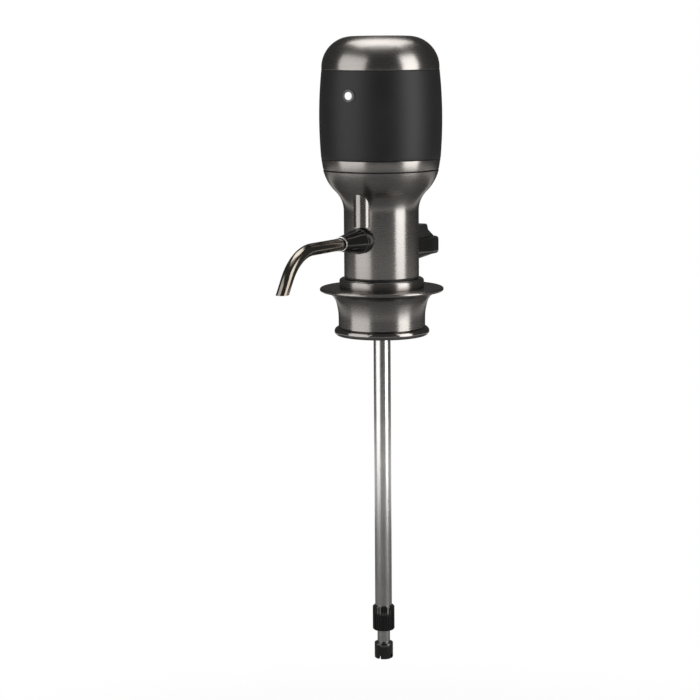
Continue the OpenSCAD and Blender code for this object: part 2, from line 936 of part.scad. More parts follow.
module air_hose() {
    color(lit_white) translate([air_x, 0, 0]) tube(hose_r, nipple_r, hose_z, cover_z - slip);
}

// Rear bracket and thumb lever
module bracket_plan() {
    half = bracket_half_w;
    c = bracket_corner_r;
    translate([-half, 0]) square([2 * half, bracket_reach - c]);
    translate([c - half, 0]) square([2 * (half - c), bracket_reach]);
    for (side = [-1, 1]) translate([side * (half - c), bracket_reach - c]) circle(r = c);
}

module bracket_gusset() {
    translate([-bracket_half_w, 0, 0])
        rotate([90, 0, 90])
            linear_extrude(2 * bracket_half_w)
                polygon([[0, bracket_z], [0, bracket_z - gusset_h], [neck_r, bracket_z - gusset_h],
                         [bracket_reach - bracket_corner_r - over, bracket_z]]);
}

module rear_bracket() {
    color(gloss_black)
        difference() {
            union() {
                translate([0, 0, bracket_z]) linear_extrude(bracket_h) bracket_plan();
                bracket_gusset();
            }
            disc(neck_r, bracket_z - gusset_h - over, bracket_top + over);
            translate([-neck_r, -neck_r, bracket_z - gusset_h - over])
                cube([2 * neck_r, neck_r, bracket_h + gusset_h + 2 * over]);
            translate([-trough_half_w, trough_y, bracket_floor])
                cube([2 * trough_half_w, trough_end - trough_y, bracket_h]);
            translate([-pin_half_len, pin_y, pin_z])
                rotate([0, 90, 0]) cylinder(r = pin_r, h = 2 * pin_half_len);
            translate([0, 0, vent_pipe_z]) bar(vent_r + running, 0, trough_y + over);
            for (side = [-1, 1])
                translate([side * screw_x, 0, screw_z]) bar(screw_r, 0, trough_y - screw_tip + slip);
        }
}

module bracket_screws() {
    color(steel)
        for (side = [-1, 1])
            translate([side * screw_x, 0, screw_z]) {
                bar(screw_r, screw_seat_y, trough_y - screw_tip);
                bar(screw_head_r, screw_seat_y - screw_head_h, screw_seat_y);
            }
}

module thumb_lever() {
    pad_end = lever_y + pad_len;
    rib_step = pad_len / (rib_count + 0.5);
    color(soft_black)
        difference() {
            union() {
                translate([-lever_half_w, 0, 0])
                    rotate([90, 0, 90])
                        linear_extrude(2 * lever_half_w) {
                            polygon([[lever_y, lever_low], [lever_y, lever_top - lever_edge],
                                     [lever_y + lever_edge, lever_top], [pad_end, lever_top],
                                     [pad_end + pad_lean, lever_top - pad_drop],
                                     [slope_end_y, bracket_top + loose], [pin_y, pin_z],
                                     [pin_y - pin_boss_r, lever_low]]);
                            translate([pin_y, pin_z]) circle(r = pin_boss_r);
                        }
                for (i = [1 : rib_count])
                    translate([-lever_half_w, lever_y + i * rib_step, lever_top])
                        rotate([0, 90, 0]) cylinder(r = rib_r, h = 2 * lever_half_w, $fn = 32);
            }
            translate([-bracket_half_w, pin_y, pin_z])
                rotate([0, 90, 0]) cylinder(r = pin_r + running, h = 2 * bracket_half_w);
        }
}

module lever_pin() {
    color(steel)
        translate([-pin_half_len, pin_y, pin_z])
            rotate([0, 90, 0]) cylinder(r = pin_r, h = 2 * pin_half_len);
}

module lever_springs() {
    color(steel)
        for (side = [-1, 1])
            translate([side * lever_spring_x, lever_spring_y, 0])
                tube(lever_spring_r, lever_spring_r - lever_spring_wall, bracket_floor, lever_low);
}

// Vent that lets the bottle's air out
module vent_valve() {
    color(brass_tone)
        translate([0, valve_y, 0])
            difference() {
                disc(valve_r, bracket_floor, valve_top);
                disc(plunger_r + running, plunger_low - loose, valve_top + over);
            }
}

module vent_plunger() {
    color(steel) translate([0, valve_y, 0]) disc(plunger_r, plunger_low + plunger_lift, plunger_top);
}

module vent_path(r) {
    translate([0, 0, vent_pipe_z]) bar(r, line_y, valve_y - valve_r);
    translate([0, line_y, vent_pipe_z]) sphere(r = r, $fn = 32);
    translate([0, line_y, 0]) disc(r, vent_z + vent_lap, vent_pipe_z);
}

module vent_pipe() {
    bore_r = vent_r / 2;
    color(brass_tone)
        difference() {
            vent_path(vent_r);
            translate([0, line_y, 0]) disc(bore_r, vent_z, vent_pipe_z);
            translate([0, 0, vent_pipe_z]) bar(bore_r, line_y, valve_y);
        }
}

// Bulkhead with the bayonet's lugs
module bulkhead() {
    color(moulded_grey)
        difference() {
            union() {
                disc(bulk_r, bulk_z, seam_z);
                tube(spigot_r, spigot_r - spigot_wall, seam_z - over, spigot_top);
                for (a = lug_angles)
                    sector(lug_r, spigot_r - over, lug_z, lug_z + lug_h, a - lug_half_a, a + lug_half_a);
            }
            disc(motor_r + slip, bulk_z - over, seam_z + over);
            for (a = lug_angles)
                rotate([0, 0, a])
                    translate([cage_screw_y, 0, 0]) disc(cage_screw_r, bulk_z + bulk_skin, seam_z + over);
        }
}

// Batteries
module cage_core() {
    difference() {
        circle(r = core_r);
        around(cell_count) translate([cell_pitch_r, 0]) circle(r = cell_bay_r);
    }
}

module battery_cage() {
    core_low = cage_z + plate_t / 2;
    color(gloss_black)
        difference() {
            union() {
                disc(plate_r, cage_z, cage_z + plate_t);
                translate([0, 0, core_low]) linear_extrude(cage_top_z + plate_t / 2 - core_low) cage_core();
                disc(plate_r, cage_top_z, cage_top_z + plate_t);
            }
            for (a = lug_angles)
                rotate([0, 0, a])
                    translate([cage_screw_y, 0, 0])
                        disc(cage_screw_r + running, cage_z - over, cage_z + plate_t + over);
        }
}

module batteries() {
    color(brass_tone)
        around(cell_count)
            translate([cell_pitch_r, 0, 0]) {
                disc(cell_r, cell_z, cell_z + cell_len - nub_h);
                disc(nub_r, cell_z, cell_z + cell_len);
            }
}

module contact_springs() {
    color(steel)
        around(cell_count)
            translate([cell_pitch_r, 0, cage_z + plate_t])
                cylinder(r1 = contact_r, r2 = contact_r - spring_taper, h = contact_h);
}

module contact_plates() {
    color(brass_tone)
        around(cell_count)
            translate([cell_pitch_r, 0, 0]) disc(contact_r, cage_top_z - contact_t, cage_top_z);
}

module cage_screws() {
    color(steel)
        for (a = lug_angles)
            rotate([0, 0, a])
                translate([cage_screw_y, 0, 0]) {
                    disc(cage_screw_r, bulk_z + bulk_skin + slip, cage_z + plate_t);
                    disc(cage_head_r, cage_z + plate_t, cage_z + plate_t + cage_head_h);
                }
}

// Electrics
module control_board() {
    color(board_green)
        translate([-board_half_w, -board_front, cage_z + plate_t])
            cube([2 * board_half_w, board_t, cage_top_z - cage_z - plate_t]);
}

module tact_switch() {
    w = switch_half_w;
    color(gloss_black)
        difference() {
            translate([-w, -switch_front, button_z - w]) cube([2 * w, switch_front - board_front, 2 * w]);
            translate([0, 0, button_z])
                front_bar(switch_plunger_r + running, board_front + switch_back_t, switch_front + over);
        }
}

module switch_plunger() {
    color(seal_black)
        translate([0, 0, button_z])
            front_bar(switch_plunger_r, board_front + switch_back_t + button_travel + running, plunger_end);
}

module status_led() {
    color(lit_white)
        translate([-led_w / 2, -board_front - led_h, button_z - led_down - led_w / 2])
            cube([led_w, led_h, led_w]);
}

// Upper housing
module sleeve_slots() {
    groove_r = lug_r + loose;
    groove_z = lug_z - loose;
    groove_top = lug_z + lug_h + loose;
    half = lug_half_a + lug_play_a;
    entry = lug_half_a + lug_play_a / 2;
    for (a = lug_angles) {
        sector(groove_r, sleeve_in_r - over, groove_z, groove_top, a - twist_a - half, a + half);
        sector(groove_r + slip, sleeve_in_r - over, housing_z - over, lug_z + lug_h / 2,
               a - twist_a - entry, a - twist_a + entry);
    }
}

module inner_sleeve() {
    color(moulded_grey)
        difference() {
            tube(sleeve_r, sleeve_in_r, housing_z, sleeve_top);
            sleeve_slots();
            translate([0, 0, button_z]) front_bar(stem_r + slip, sleeve_in_r - over, sleeve_r + over);
        }
}

// Section of a barrel piece with bevelled outer edges
module barrel_section(z0, z1, r_low, r_top) {
    b = edge_bevel;
    intersection() {
        translate([body_r - barrel_arc_r, widest_z]) circle(r = barrel_arc_r, $fn = arc_fn);
        polygon([[sleeve_r, z0], [r_low - b, z0], [r_low, z0 + b], [body_r, z0 + 2 * b],
                 [body_r, z1 - 2 * b], [r_top, z1 - b], [r_top - b, z1], [sleeve_r, z1]]);
    }
}

module grip_band() {
    color(soft_black)
        difference() {
            rotate_extrude($fn = 180) barrel_section(band_z, cap_z, ring_top_r, cap_r);
            translate([0, 0, button_z]) front_bar(bezel_r, sleeve_r - over, body_r + over);
        }
}

module trim_ring() {
    b = edge_bevel;
    color(gunmetal)
        rotate_extrude($fn = 180)
            polygon([[sleeve_r, housing_z], [ring_low_r - b, housing_z], [ring_low_r, housing_z + b],
                     [ring_top_r, band_z - b], [ring_top_r - b, band_z], [sleeve_r, band_z]]);
}

module cap_profile(inset) {
    flat_r = cap_r - cap_curve_r;
    curve_z = top_z - cap_curve_r;
    translate([0, cap_z]) square([flat_r, cap_h - inset]);
    intersection() {
        translate([flat_r, curve_z]) circle(r = cap_curve_r - inset, $fn = 360);
        translate([0, curve_z]) square([body_r, cap_h]);
    }
    translate([0, cap_z]) square([cap_r - inset, curve_z - cap_z]);
}

module top_cap() {
    color(gunmetal)
        rotate_extrude($fn = 180) {
            difference() {
                cap_profile(0);
                cap_profile(cap_wall);
                translate([cap_r, cap_z]) rotate(45) square(edge_bevel * sqrt(2), center = true);
            }
            translate([sleeve_in_r, sleeve_top]) square([sleeve_wall, cap_spigot_h]);
            translate([sleeve_in_r, cap_z]) square([cap_r - cap_wall / 2 - sleeve_in_r, cap_wall]);
        }
}

// Lit button in its bezel
module button_bezel() {
    color(moulded_grey)
        translate([0, 0, button_z])
            difference() {
                front_bar(bezel_r, sleeve_r, bezel_front);
                front_bar(bezel_bore_r, 0, bezel_front + over);
                front_bar(button_flange_r + slip, 0, flange_front + slip);
            }
}

module power_button() {
    crown = 0.4;
    color(lit_white)
        translate([0, 0, button_z]) {
            front_bar(button_r, flange_front - button_flange_t / 2, button_front - crown);
            translate([0, -button_front + crown, 0])
                rotate([90, 0, 0]) cylinder(r1 = button_r, r2 = button_r - crown, h = crown);
            front_bar(button_flange_r, flange_front - button_flange_t, flange_front);
            front_bar(stem_r, stem_end, flange_front);
        }
}

base_skirt();
base_collar();
neck_gasket();
bottle_plug();
manifold();
dip_tube();
tube_gland();
slide_seal();
inner_tube();
stop_ring();
intake_tip();
neck_shell();
wine_riser();
spout_port();
spout_seal();
spout_fitting();
spout_ring();
spout_tube();
pump_cover();
valve_plate();
diaphragm();
pump_housing();
wobble_plate();
crank();
motor_shaft();
motor_can();
motor_cap();
pump_screws();
air_hose();
rear_bracket();
bracket_screws();
thumb_lever();
lever_pin();
lever_springs();
vent_valve();
vent_plunger();
vent_pipe();
bulkhead();
battery_cage();
batteries();
contact_springs();
contact_plates();
cage_screws();
control_board();
tact_switch();
switch_plunger();
status_led();
inner_sleeve();
grip_band();
trim_ring();
top_cap();
button_bezel();
power_button();
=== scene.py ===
import bmesh
import bpy
import json
import math
from mathutils import Matrix, Quaternion, Vector


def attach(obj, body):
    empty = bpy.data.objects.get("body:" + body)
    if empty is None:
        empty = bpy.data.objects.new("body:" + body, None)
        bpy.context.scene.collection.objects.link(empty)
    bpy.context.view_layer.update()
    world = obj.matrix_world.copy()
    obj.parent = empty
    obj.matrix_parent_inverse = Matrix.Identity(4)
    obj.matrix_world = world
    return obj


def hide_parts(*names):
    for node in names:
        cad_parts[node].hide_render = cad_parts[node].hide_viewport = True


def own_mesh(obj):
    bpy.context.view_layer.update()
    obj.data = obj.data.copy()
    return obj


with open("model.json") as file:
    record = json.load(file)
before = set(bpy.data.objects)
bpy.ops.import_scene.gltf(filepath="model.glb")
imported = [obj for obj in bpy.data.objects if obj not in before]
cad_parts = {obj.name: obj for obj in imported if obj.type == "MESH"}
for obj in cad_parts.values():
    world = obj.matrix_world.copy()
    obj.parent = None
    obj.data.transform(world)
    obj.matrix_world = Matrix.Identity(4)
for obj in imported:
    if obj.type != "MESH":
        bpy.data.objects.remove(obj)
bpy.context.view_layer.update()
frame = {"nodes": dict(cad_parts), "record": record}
mm = 0.001
print("frame loaded,", len(frame["nodes"]), "nodes")

# camera: from the spout's right hand side, a little above
cameraPlan = {
    "azimuth": 31.5, "pitch": 8.4, "roll": -0.45,   # degrees
    "distance": 1155, "lens": 126.4,                # mm
    "aimRight": -15.07, "aimHeight": -23.1,         # mm
}
turn, dip = math.radians(cameraPlan["azimuth"]), math.radians(cameraPlan["pitch"])
viewRight = Vector((math.cos(turn), math.sin(turn), 0))
viewFront = Vector((math.sin(turn), -math.cos(turn), 0))   # level, from the object to the camera
lookAlong = -viewFront * math.cos(dip) - Vector((0, 0, math.sin(dip)))
aimPoint = (viewRight * cameraPlan["aimRight"] + Vector((0, 0, cameraPlan["aimHeight"]))) * mm
bpy.ops.object.camera_add(location=aimPoint - lookAlong * cameraPlan["distance"] * mm)
camera = bpy.context.object
camera.name = "photoCamera"
camera.data.lens = cameraPlan["lens"]
camera.rotation_mode = "QUATERNION"
roll = Quaternion((0, 0, 1), math.radians(cameraPlan["roll"]))
camera.rotation_quaternion = lookAlong.to_track_quat("-Z", "Y") @ roll
bpy.context.scene.camera = camera
bpy.context.scene.view_settings.view_transform = "Standard"


# shader maths as plain expressions on sockets
class Wire:
    def __init__(self, tree, socket=None):
        self.tree, self.socket = tree, socket

    def node(self, kind, settings=None, inputs=None, output=0):
        made = self.tree.nodes.new(kind)
        for name, value in (settings or {}).items():
            setattr(made, name, value)
        for name, value in (inputs or {}).items():
            if isinstance(value, Wire):
                self.tree.links.new(value.socket, made.inputs[name])
            else:
                made.inputs[name].default_value = value
        return Wire(self.tree, made.outputs[output])

    def port(self, name):
        return Wire(self.tree, self.socket.node.outputs[name])

    def maths(self, operation, first, second):
        return self.node("ShaderNodeMath", {"operation": operation}, {0: first, 1: second})

    def __add__(self, other):
        return self.maths("ADD", self, other)

    def __radd__(self, other):
        return self.maths("ADD", other, self)

    def __sub__(self, other):
        return self.maths("SUBTRACT", self, other)

    def __rsub__(self, other):
        return self.maths("SUBTRACT", other, self)

    def __mul__(self, other):
        return self.maths("MULTIPLY", self, other)

    def __rmul__(self, other):
        return self.maths("MULTIPLY", other, self)

    def __pow__(self, other):
        return self.maths("POWER", self, other)


def startFinish(name):
    material = bpy.data.materials.new(name)
    material.use_nodes = True
    tree = material.node_tree
    shader = next(n for n in tree.nodes if n.type == "BSDF_PRINCIPLED")
    place = Wire(tree).node("ShaderNodeTexCoord", output="Object")
    return material, shader, place


def feed(shader, **inputs):
    # socket names are written without their spaces
    for socket in shader.inputs:
        value = inputs.get(socket.name.replace(" ", ""))
        if isinstance(value, Wire):
            value.tree.links.new(value.socket, socket)
        elif value is not None:
            socket.default_value = value


def grain(place, scale, detail=2.0, rough=0.5):
    return place.node("ShaderNodeTexNoise", {}, {"Vector": place, "Scale": scale, "Detail": detail,
                                                 "Roughness": rough}, "Fac")


def stretched(place, x, y, z):
    return place.node("ShaderNodeMapping", {}, {"Vector": place, "Scale": (x, y, z)})


def blendColours(factor, first, second):
    return factor.node("ShaderNodeMix", {"data_type": "RGBA"}, {0: factor, 6: first, 7: second}, 2)


def levels(value, low, high):
    return value.node("ShaderNodeMapRange", {}, {"Value": value, "From Min": low, "From Max": high})


def bump(height, strength, distance):
    return height.node("ShaderNodeBump", {}, {"Height": height, "Strength": strength, "Distance": distance})


def turnedLines(place, pitch, drift):
    # fine lathe lines: quick along the outline, slow round the axis
    parts = place.node("ShaderNodeSeparateXYZ", {}, {0: place})
    x, y, z = parts.port("X"), parts.port("Y"), parts.port("Z")
    radius = (x * x + y * y) ** 0.5
    along = place.node("ShaderNodeCombineXYZ", {}, {0: radius * pitch, 1: z * pitch, 2: x * drift})
    return place.node("ShaderNodeTexNoise", {"noise_dimensions": "4D"},
                      {"Vector": along, "W": y * drift, "Scale": 1.0, "Detail": 2.0}, "Fac")


gunmetalPlan = {"light": (0.285, 0.268, 0.254, 1), "dark": (0.225, 0.211, 0.2, 1), "roughness": 0.27,
                "edge": (0.65, 0.63, 0.61, 1), "linePitch": 2600, "lineDrift": 60, "handling": 55, "brushing": 0.7,
                "speckScale": 5200, "beadFoot": -0.0125, "beadTop": -0.0115, "beadPolish": 0.1}


def makeGunmetal():
    plan = gunmetalPlan
    material, shader, place = startFinish("gunmetalSatin")
    lines = turnedLines(place, plan["linePitch"], plan["lineDrift"])
    cloud = grain(place, plan["handling"], 3)
    specks = grain(place, plan["speckScale"], 1)
    tone = levels(lines * 0.45 + cloud * 0.55, 0.3, 0.7)
    height = place.node("ShaderNodeSeparateXYZ", {}, {0: place}).port("Z")
    bead = 1 - levels(height, plan["beadFoot"], plan["beadTop"])
    feed(shader, BaseColor=blendColours(tone, plan["dark"], plan["light"]), Metallic=1.0,
         Roughness=plan["roughness"] - 0.045 - bead * plan["beadPolish"] + lines * 0.05 + cloud * 0.05,
         SpecularTint=plan["edge"], Anisotropic=plan["brushing"], AnisotropicRotation=0.25,
         Normal=bump(lines * 0.7 + specks * 0.3, 0.02, 0.0002))
    return material


steelPlan = {"light": (0.6, 0.59, 0.575, 1), "dark": (0.46, 0.45, 0.44, 1), "roughness": 0.24, "linePitch": 3000,
             "cloudScale": 90}


def makeSteel():
    plan = steelPlan
    material, shader, place = startFinish("brushedSteel")
    drawn = grain(stretched(place, 1, 1, 0.02), plan["linePitch"], 2)
    cloud = grain(place, plan["cloudScale"], 3)
    tone = levels(drawn * 0.6 + cloud * 0.4, 0.3, 0.7)
    feed(shader, BaseColor=blendColours(tone, plan["dark"], plan["light"]), Metallic=1.0,
         Roughness=plan["roughness"] - 0.05 + drawn * 0.08 + cloud * 0.04,
         Normal=bump(drawn, 0.06, 0.0002))
    return material


spoutMetalPlan = {"light": (0.215, 0.191, 0.163, 1), "dark": (0.155, 0.136, 0.115, 1), "roughness": 0.15,
                  "linePitch": 2800, "cloudScale": 120}


def makeSpoutMetal():
    plan = spoutMetalPlan
    material, shader, place = startFinish("drawnSpoutMetal")
    drawn = grain(stretched(place, 1, 0.02, 0.05), plan["linePitch"], 2)
    cloud = grain(place, plan["cloudScale"], 3)
    tone = levels(drawn * 0.5 + cloud * 0.5, 0.3, 0.7)
    feed(shader, BaseColor=blendColours(tone, plan["dark"], plan["light"]), Metallic=1.0,
         Roughness=plan["roughness"] - 0.04 + drawn * 0.05 + cloud * 0.05,
         Normal=bump(drawn, 0.025, 0.0002))
    return material


softBlackPlan = {"dark": (0.006, 0.006, 0.0063, 1), "light": (0.0105, 0.0104, 0.0108, 1), "roughness": 0.47,
                 "grainScale": 3400, "patchScale": 60}


def makeSoftBlack():
    plan = softBlackPlan
    material, shader, place = startFinish("softTouchBlack")
    fine = grain(place, plan["grainScale"], 2, 0.6)
    patches = grain(place, plan["patchScale"], 4)
    feed(shader, BaseColor=blendColours(levels(patches, 0.3, 0.7), plan["dark"], plan["light"]),
         Roughness=plan["roughness"] - 0.05 + patches * 0.08 + fine * 0.04,
         Normal=bump(fine, 0.12, 0.0001), SpecularIORLevel=0.35)
    return material


glossBlackPlan = {"dark": (0.006, 0.0055, 0.005, 1), "light": (0.011, 0.0102, 0.0094, 1), "roughness": 0.08,
                  "smearScale": 130, "peelScale": 900}


def makeGlossBlack():
    plan = glossBlackPlan
    material, shader, place = startFinish("polishedBlack")
    smears = grain(place, plan["smearScale"], 4, 0.6)
    peel = grain(place, plan["peelScale"], 1)
    feed(shader, BaseColor=blendColours(levels(smears, 0.3, 0.7), plan["dark"], plan["light"]),
         Roughness=plan["roughness"] - 0.04 + smears * 0.09, Normal=bump(peel, 0.03, 0.0002),
         SpecularIORLevel=0.35, CoatWeight=0.35, CoatRoughness=0.03)
    return material


mouldedPlan = {"dark": (0.085, 0.089, 0.094, 1), "light": (0.115, 0.12, 0.126, 1), "roughness": 0.5,
               "sparkScale": 2200, "flowScale": 70}


def makeMoulded():
    plan = mouldedPlan
    material, shader, place = startFinish("mouldedGrey")
    spark = grain(place, plan["sparkScale"], 2, 0.7)
    flow = grain(stretched(place, 1, 1, 0.35), plan["flowScale"], 3)
    feed(shader, BaseColor=blendColours(levels(flow, 0.3, 0.7), plan["dark"], plan["light"]),
         Roughness=plan["roughness"] - 0.06 + spark * 0.1, Normal=bump(spark, 0.15, 0.0001))
    return material


rubberPlan = {"dark": (0.007, 0.007, 0.007, 1), "light": (0.015, 0.0147, 0.0144, 1), "roughness": 0.62,
              "dustScale": 160, "poreScale": 2600}


def makeRubber():
    plan = rubberPlan
    material, shader, place = startFinish("sealRubber")
    dust = grain(place, plan["dustScale"], 5, 0.6)
    pores = grain(place, plan["poreScale"], 2)
    feed(shader, BaseColor=blendColours(levels(dust, 0.35, 0.75), plan["dark"], plan["light"]),
         Roughness=plan["roughness"] - 0.06 + dust * 0.12, Normal=bump(pores, 0.14, 0.0001))
    return material


brassPlan = {"fresh": (0.66, 0.5, 0.23, 1), "dull": (0.47, 0.34, 0.15, 1), "roughness": 0.27, "tarnishScale": 240,
             "linePitch": 3000, "lineDrift": 80}


def makeBrass():
    plan = brassPlan
    material, shader, place = startFinish("bareBrass")
    tarnish = grain(place, plan["tarnishScale"], 4, 0.6)
    lines = turnedLines(place, plan["linePitch"], plan["lineDrift"])
    feed(shader, BaseColor=blendColours(levels(tarnish, 0.35, 0.7), plan["fresh"], plan["dull"]), Metallic=1.0,
         Roughness=plan["roughness"] - 0.06 + tarnish * 0.14, Normal=bump(lines, 0.06, 0.0001))
    return material


cellPlan = {"wrap": (0.23, 0.2, 0.145, 1), "shade": (0.16, 0.14, 0.105, 1), "can": (0.52, 0.51, 0.5, 1),
            "canBelow": 0.0682, "canAbove": 0.1112, "creaseScale": 300}


def makeCellWrap():
    plan = cellPlan
    material, shader, place = startFinish("cellSleeve")
    z = place.node("ShaderNodeSeparateXYZ", {}, {0: place}).port("Z")
    bare = z.maths("GREATER_THAN", z, plan["canAbove"]) + z.maths("LESS_THAN", z, plan["canBelow"])
    creases = grain(stretched(place, 1, 1, 0.2), plan["creaseScale"], 3)
    sleeve = blendColours(levels(creases, 0.3, 0.7), plan["shade"], plan["wrap"])
    feed(shader, BaseColor=blendColours(bare, sleeve, plan["can"]), Metallic=bare,
         Roughness=0.34 + creases * 0.12 - bare * 0.08, Normal=bump(creases, 0.1, 0.0002))
    return material


boardPlan = {"mask": (0.022, 0.12, 0.05, 1), "track": (0.035, 0.17, 0.075, 1), "roughness": 0.36,
             "trackScale": 420}


def makeBoard():
    plan = boardPlan
    material, shader, place = startFinish("solderMask")
    tracks = place.node("ShaderNodeTexVoronoi", {"distance": "MANHATTAN"},
                        {"Vector": place, "Scale": plan["trackScale"]}, "Distance")
    run = levels(tracks, 0.3, 0.42)
    feed(shader, BaseColor=blendColours(run, plan["mask"], plan["track"]),
         Roughness=plan["roughness"] + run * 0.06, Normal=bump(run, 0.2, 0.0001))
    return material


milkyPlan = {"pale": (0.82, 0.84, 0.87, 1), "deep": (0.7, 0.73, 0.77, 1), "roughness": 0.3, "hazeScale": 180}


def makeMilky():
    plan = milkyPlan
    material, shader, place = startFinish("milkyMoulding")
    haze = grain(place, plan["hazeScale"], 3)
    feed(shader, BaseColor=blendColours(levels(haze, 0.3, 0.7), plan["deep"], plan["pale"]),
         Roughness=plan["roughness"] - 0.05 + haze * 0.1, Normal=bump(haze, 0.08, 0.0002))
    return material


paintedGlowPlan = {"core": (1, 1, 1, 1), "edge": (0.4, 0.4, 0.41, 1), "coreRadius": 0.0014, "edgeRadius": 0.002,
            "height": 0.0968, "strength": 0.9, "hazeScale": 900}


def makePaintedGlowButton():
    plan = paintedGlowPlan
    material, shader, place = startFinish("paintedGlowButton")
    parts = place.node("ShaderNodeSeparateXYZ", {}, {0: place})
    x, up = parts.port("X"), parts.port("Z") - plan["height"]
    off = levels((x * x + up * up) ** 0.5, plan["coreRadius"], plan["edgeRadius"])
    haze = grain(place, plan["hazeScale"], 2)
    # painted glow: emission colour white in the lens's middle, fading to grey towards its rim
    glow = blendColours(levels(off + haze * 0.3, 0.12, 1.12), plan["core"], plan["edge"])
    feed(shader, BaseColor=(0.2, 0.2, 0.21, 1), Roughness=0.25 + haze * 0.1, EmissionColor=glow,
         EmissionStrength=plan["strength"])
    return material


finishes = {
    "gunmetal": makeGunmetal(), "steel": makeSteel(), "soft_black": makeSoftBlack(), "gloss_black": makeGlossBlack(),
    "moulded_grey": makeMoulded(), "seal_black": makeRubber(), "brass": makeBrass(), "cell_wrap": makeCellWrap(),
    "board_green": makeBoard(), "clear_white": makeMilky(),
}
spoutMetal, paintedGlowButton = makeSpoutMetal(), makePaintedGlowButton()
for part in frame["record"]["subparts"]:
    for slot in frame["nodes"][part["node"]].material_slots:
        slot.material = finishes[part["material_slot"]]
print("finishes made,", len(finishes) + 2)


# modelling helpers
def fresh():
    if bpy.context.mode != "OBJECT":
        bpy.ops.object.mode_set(mode="OBJECT")
    bpy.ops.object.select_all(action="DESELECT")


def focus(piece):
    fresh()
    piece.select_set(True)
    bpy.context.view_layer.objects.active = piece


def take(kind, test):
    # selects the verts, edges or faces whose middle, and normal for faces, pass the test
    mesh = bmesh.from_edit_mesh(bpy.context.object.data)
    for item in mesh.faces[:] + mesh.edges[:] + mesh.verts[:]:
        item.select = False
    bpy.ops.mesh.select_mode(type={"verts": "VERT", "edges": "EDGE", "faces": "FACE"}[kind])
    for item in getattr(mesh, kind):
        if kind == "faces":
            chosen = test(item.calc_center_median(), item.normal)
        elif kind == "edges":
            ends = [v.co for v in item.verts]
            chosen = test((ends[0] + ends[1]) / 2, (ends[1] - ends[0]).normalized())
        else:
            chosen = test(item.co, item.normal)
        if chosen:
            item.select_set(True)
    mesh.select_flush_mode()
    bmesh.update_edit_mesh(bpy.context.object.data)


def arc(centre, radius, start, end, steps):
    # points of an arc in an outline, angles in degrees
    angles = [math.radians(start + (end - start) * i / steps) for i in range(steps + 1)]
    return [(centre[0] + radius * math.cos(a), centre[1] + radius * math.sin(a)) for a in angles]


def easeCorners(outline, steps=4):
    # a corner given with a third number is rounded by that radius
    eased = []
    for i, corner in enumerate(outline):
        here = Vector(corner[:2])
        if len(corner) < 3:
            eased.append(here)
            continue
        before = (Vector(outline[i - 1][:2]) - here).normalized()
        after = (Vector(outline[(i + 1) % len(outline)][:2]) - here).normalized()
        half = before.angle(after) / 2
        middle = here + (before + after).normalized() * corner[2] / math.sin(half)
        first = here + before * corner[2] / math.tan(half) - middle
        last = here + after * corner[2] / math.tan(half) - middle
        sweep = first.angle_signed(last)
        eased += [middle + first @ Matrix.Rotation(sweep * k / steps, 2) for k in range(steps + 1)]
    return eased


def trace(name, points):
    # one vertex, extruded from point to point
    fresh()
    bpy.ops.mesh.primitive_plane_add(size=mm)
    piece = bpy.context.object
    piece.name = piece.data.name = name
    bpy.ops.object.mode_set(mode="EDIT")
    bpy.ops.mesh.select_mode(type="VERT")
    bpy.ops.mesh.select_all(action="SELECT")
    bpy.ops.mesh.merge(type="CENTER")
    bpy.ops.transform.translate(value=points[0])
    for here, there in zip(points, points[1:]):
        bpy.ops.mesh.extrude_region_move(TRANSFORM_OT_translate={"value": there - here})
    return piece


def closeUp():
    bpy.ops.mesh.select_all(action="SELECT")
    bpy.ops.mesh.remove_doubles(threshold=2e-6)
    bpy.ops.mesh.normals_make_consistent(inside=False)
    bpy.ops.object.mode_set(mode="OBJECT")


def smooth(piece, angle=32):
    focus(piece)
    bpy.ops.object.shade_smooth_by_angle(angle=math.radians(angle))


def lathe(name, outline, steps=144, level=None):
    # outline in mm as (radius, height); level turns it about the level axis at that height, heights to the front
    corners = easeCorners(outline)
    corners.append(corners[0])
    if level is None:
        points = [Vector((r, 0, h)) * mm for r, h in corners]
        axis, centre = (0, 0, 1), (0, 0, 0)
    else:
        points = [Vector((r, -h, level)) * mm for r, h in corners]
        axis, centre = (0, 1, 0), (0, 0, level * mm)
    piece = trace(name, points)
    bpy.ops.mesh.select_all(action="SELECT")
    bpy.ops.mesh.spin(steps=steps, angle=2 * math.pi, center=centre, axis=axis)
    closeUp()
    smooth(piece)
    return piece


def rod(name, radius, start, end, sides=48):
    # a straight bar between two points in mm, used to cut or to add
    start, end = Vector(start) * mm, Vector(end) * mm
    fresh()
    bpy.ops.mesh.primitive_circle_add(vertices=sides, radius=radius * mm, fill_type="NGON",
                                      location=start, rotation=(end - start).to_track_quat("Z", "Y").to_euler())
    piece = bpy.context.object
    piece.name = piece.data.name = name
    bpy.ops.object.transform_apply(location=True, rotation=True, scale=True)
    bpy.ops.object.mode_set(mode="EDIT")
    bpy.ops.mesh.select_all(action="SELECT")
    bpy.ops.mesh.extrude_region_move(TRANSFORM_OT_translate={"value": end - start})
    closeUp()
    return piece


def block(name, low, high):
    # a box between two corners in mm
    low, high = Vector(low) * mm, Vector(high) * mm
    fresh()
    bpy.ops.mesh.primitive_cube_add(size=1, location=(low + high) / 2, scale=high - low)
    piece = bpy.context.object
    piece.name = piece.data.name = name
    bpy.ops.object.transform_apply(location=True, rotation=True, scale=True)
    return piece


def slab(name, side, half):
    # a side view in mm as (y, z), filled and pulled out from -half to half
    points = [Vector((-half, y, z)) * mm for y, z in side]
    piece = trace(name, points + points[:1])
    bpy.ops.mesh.select_all(action="SELECT")
    bpy.ops.mesh.remove_doubles(threshold=2e-6)
    bpy.ops.mesh.edge_face_add()
    bpy.ops.mesh.extrude_region_move(TRANSFORM_OT_translate={"value": (2 * half * mm, 0, 0)})
    closeUp()
    return piece


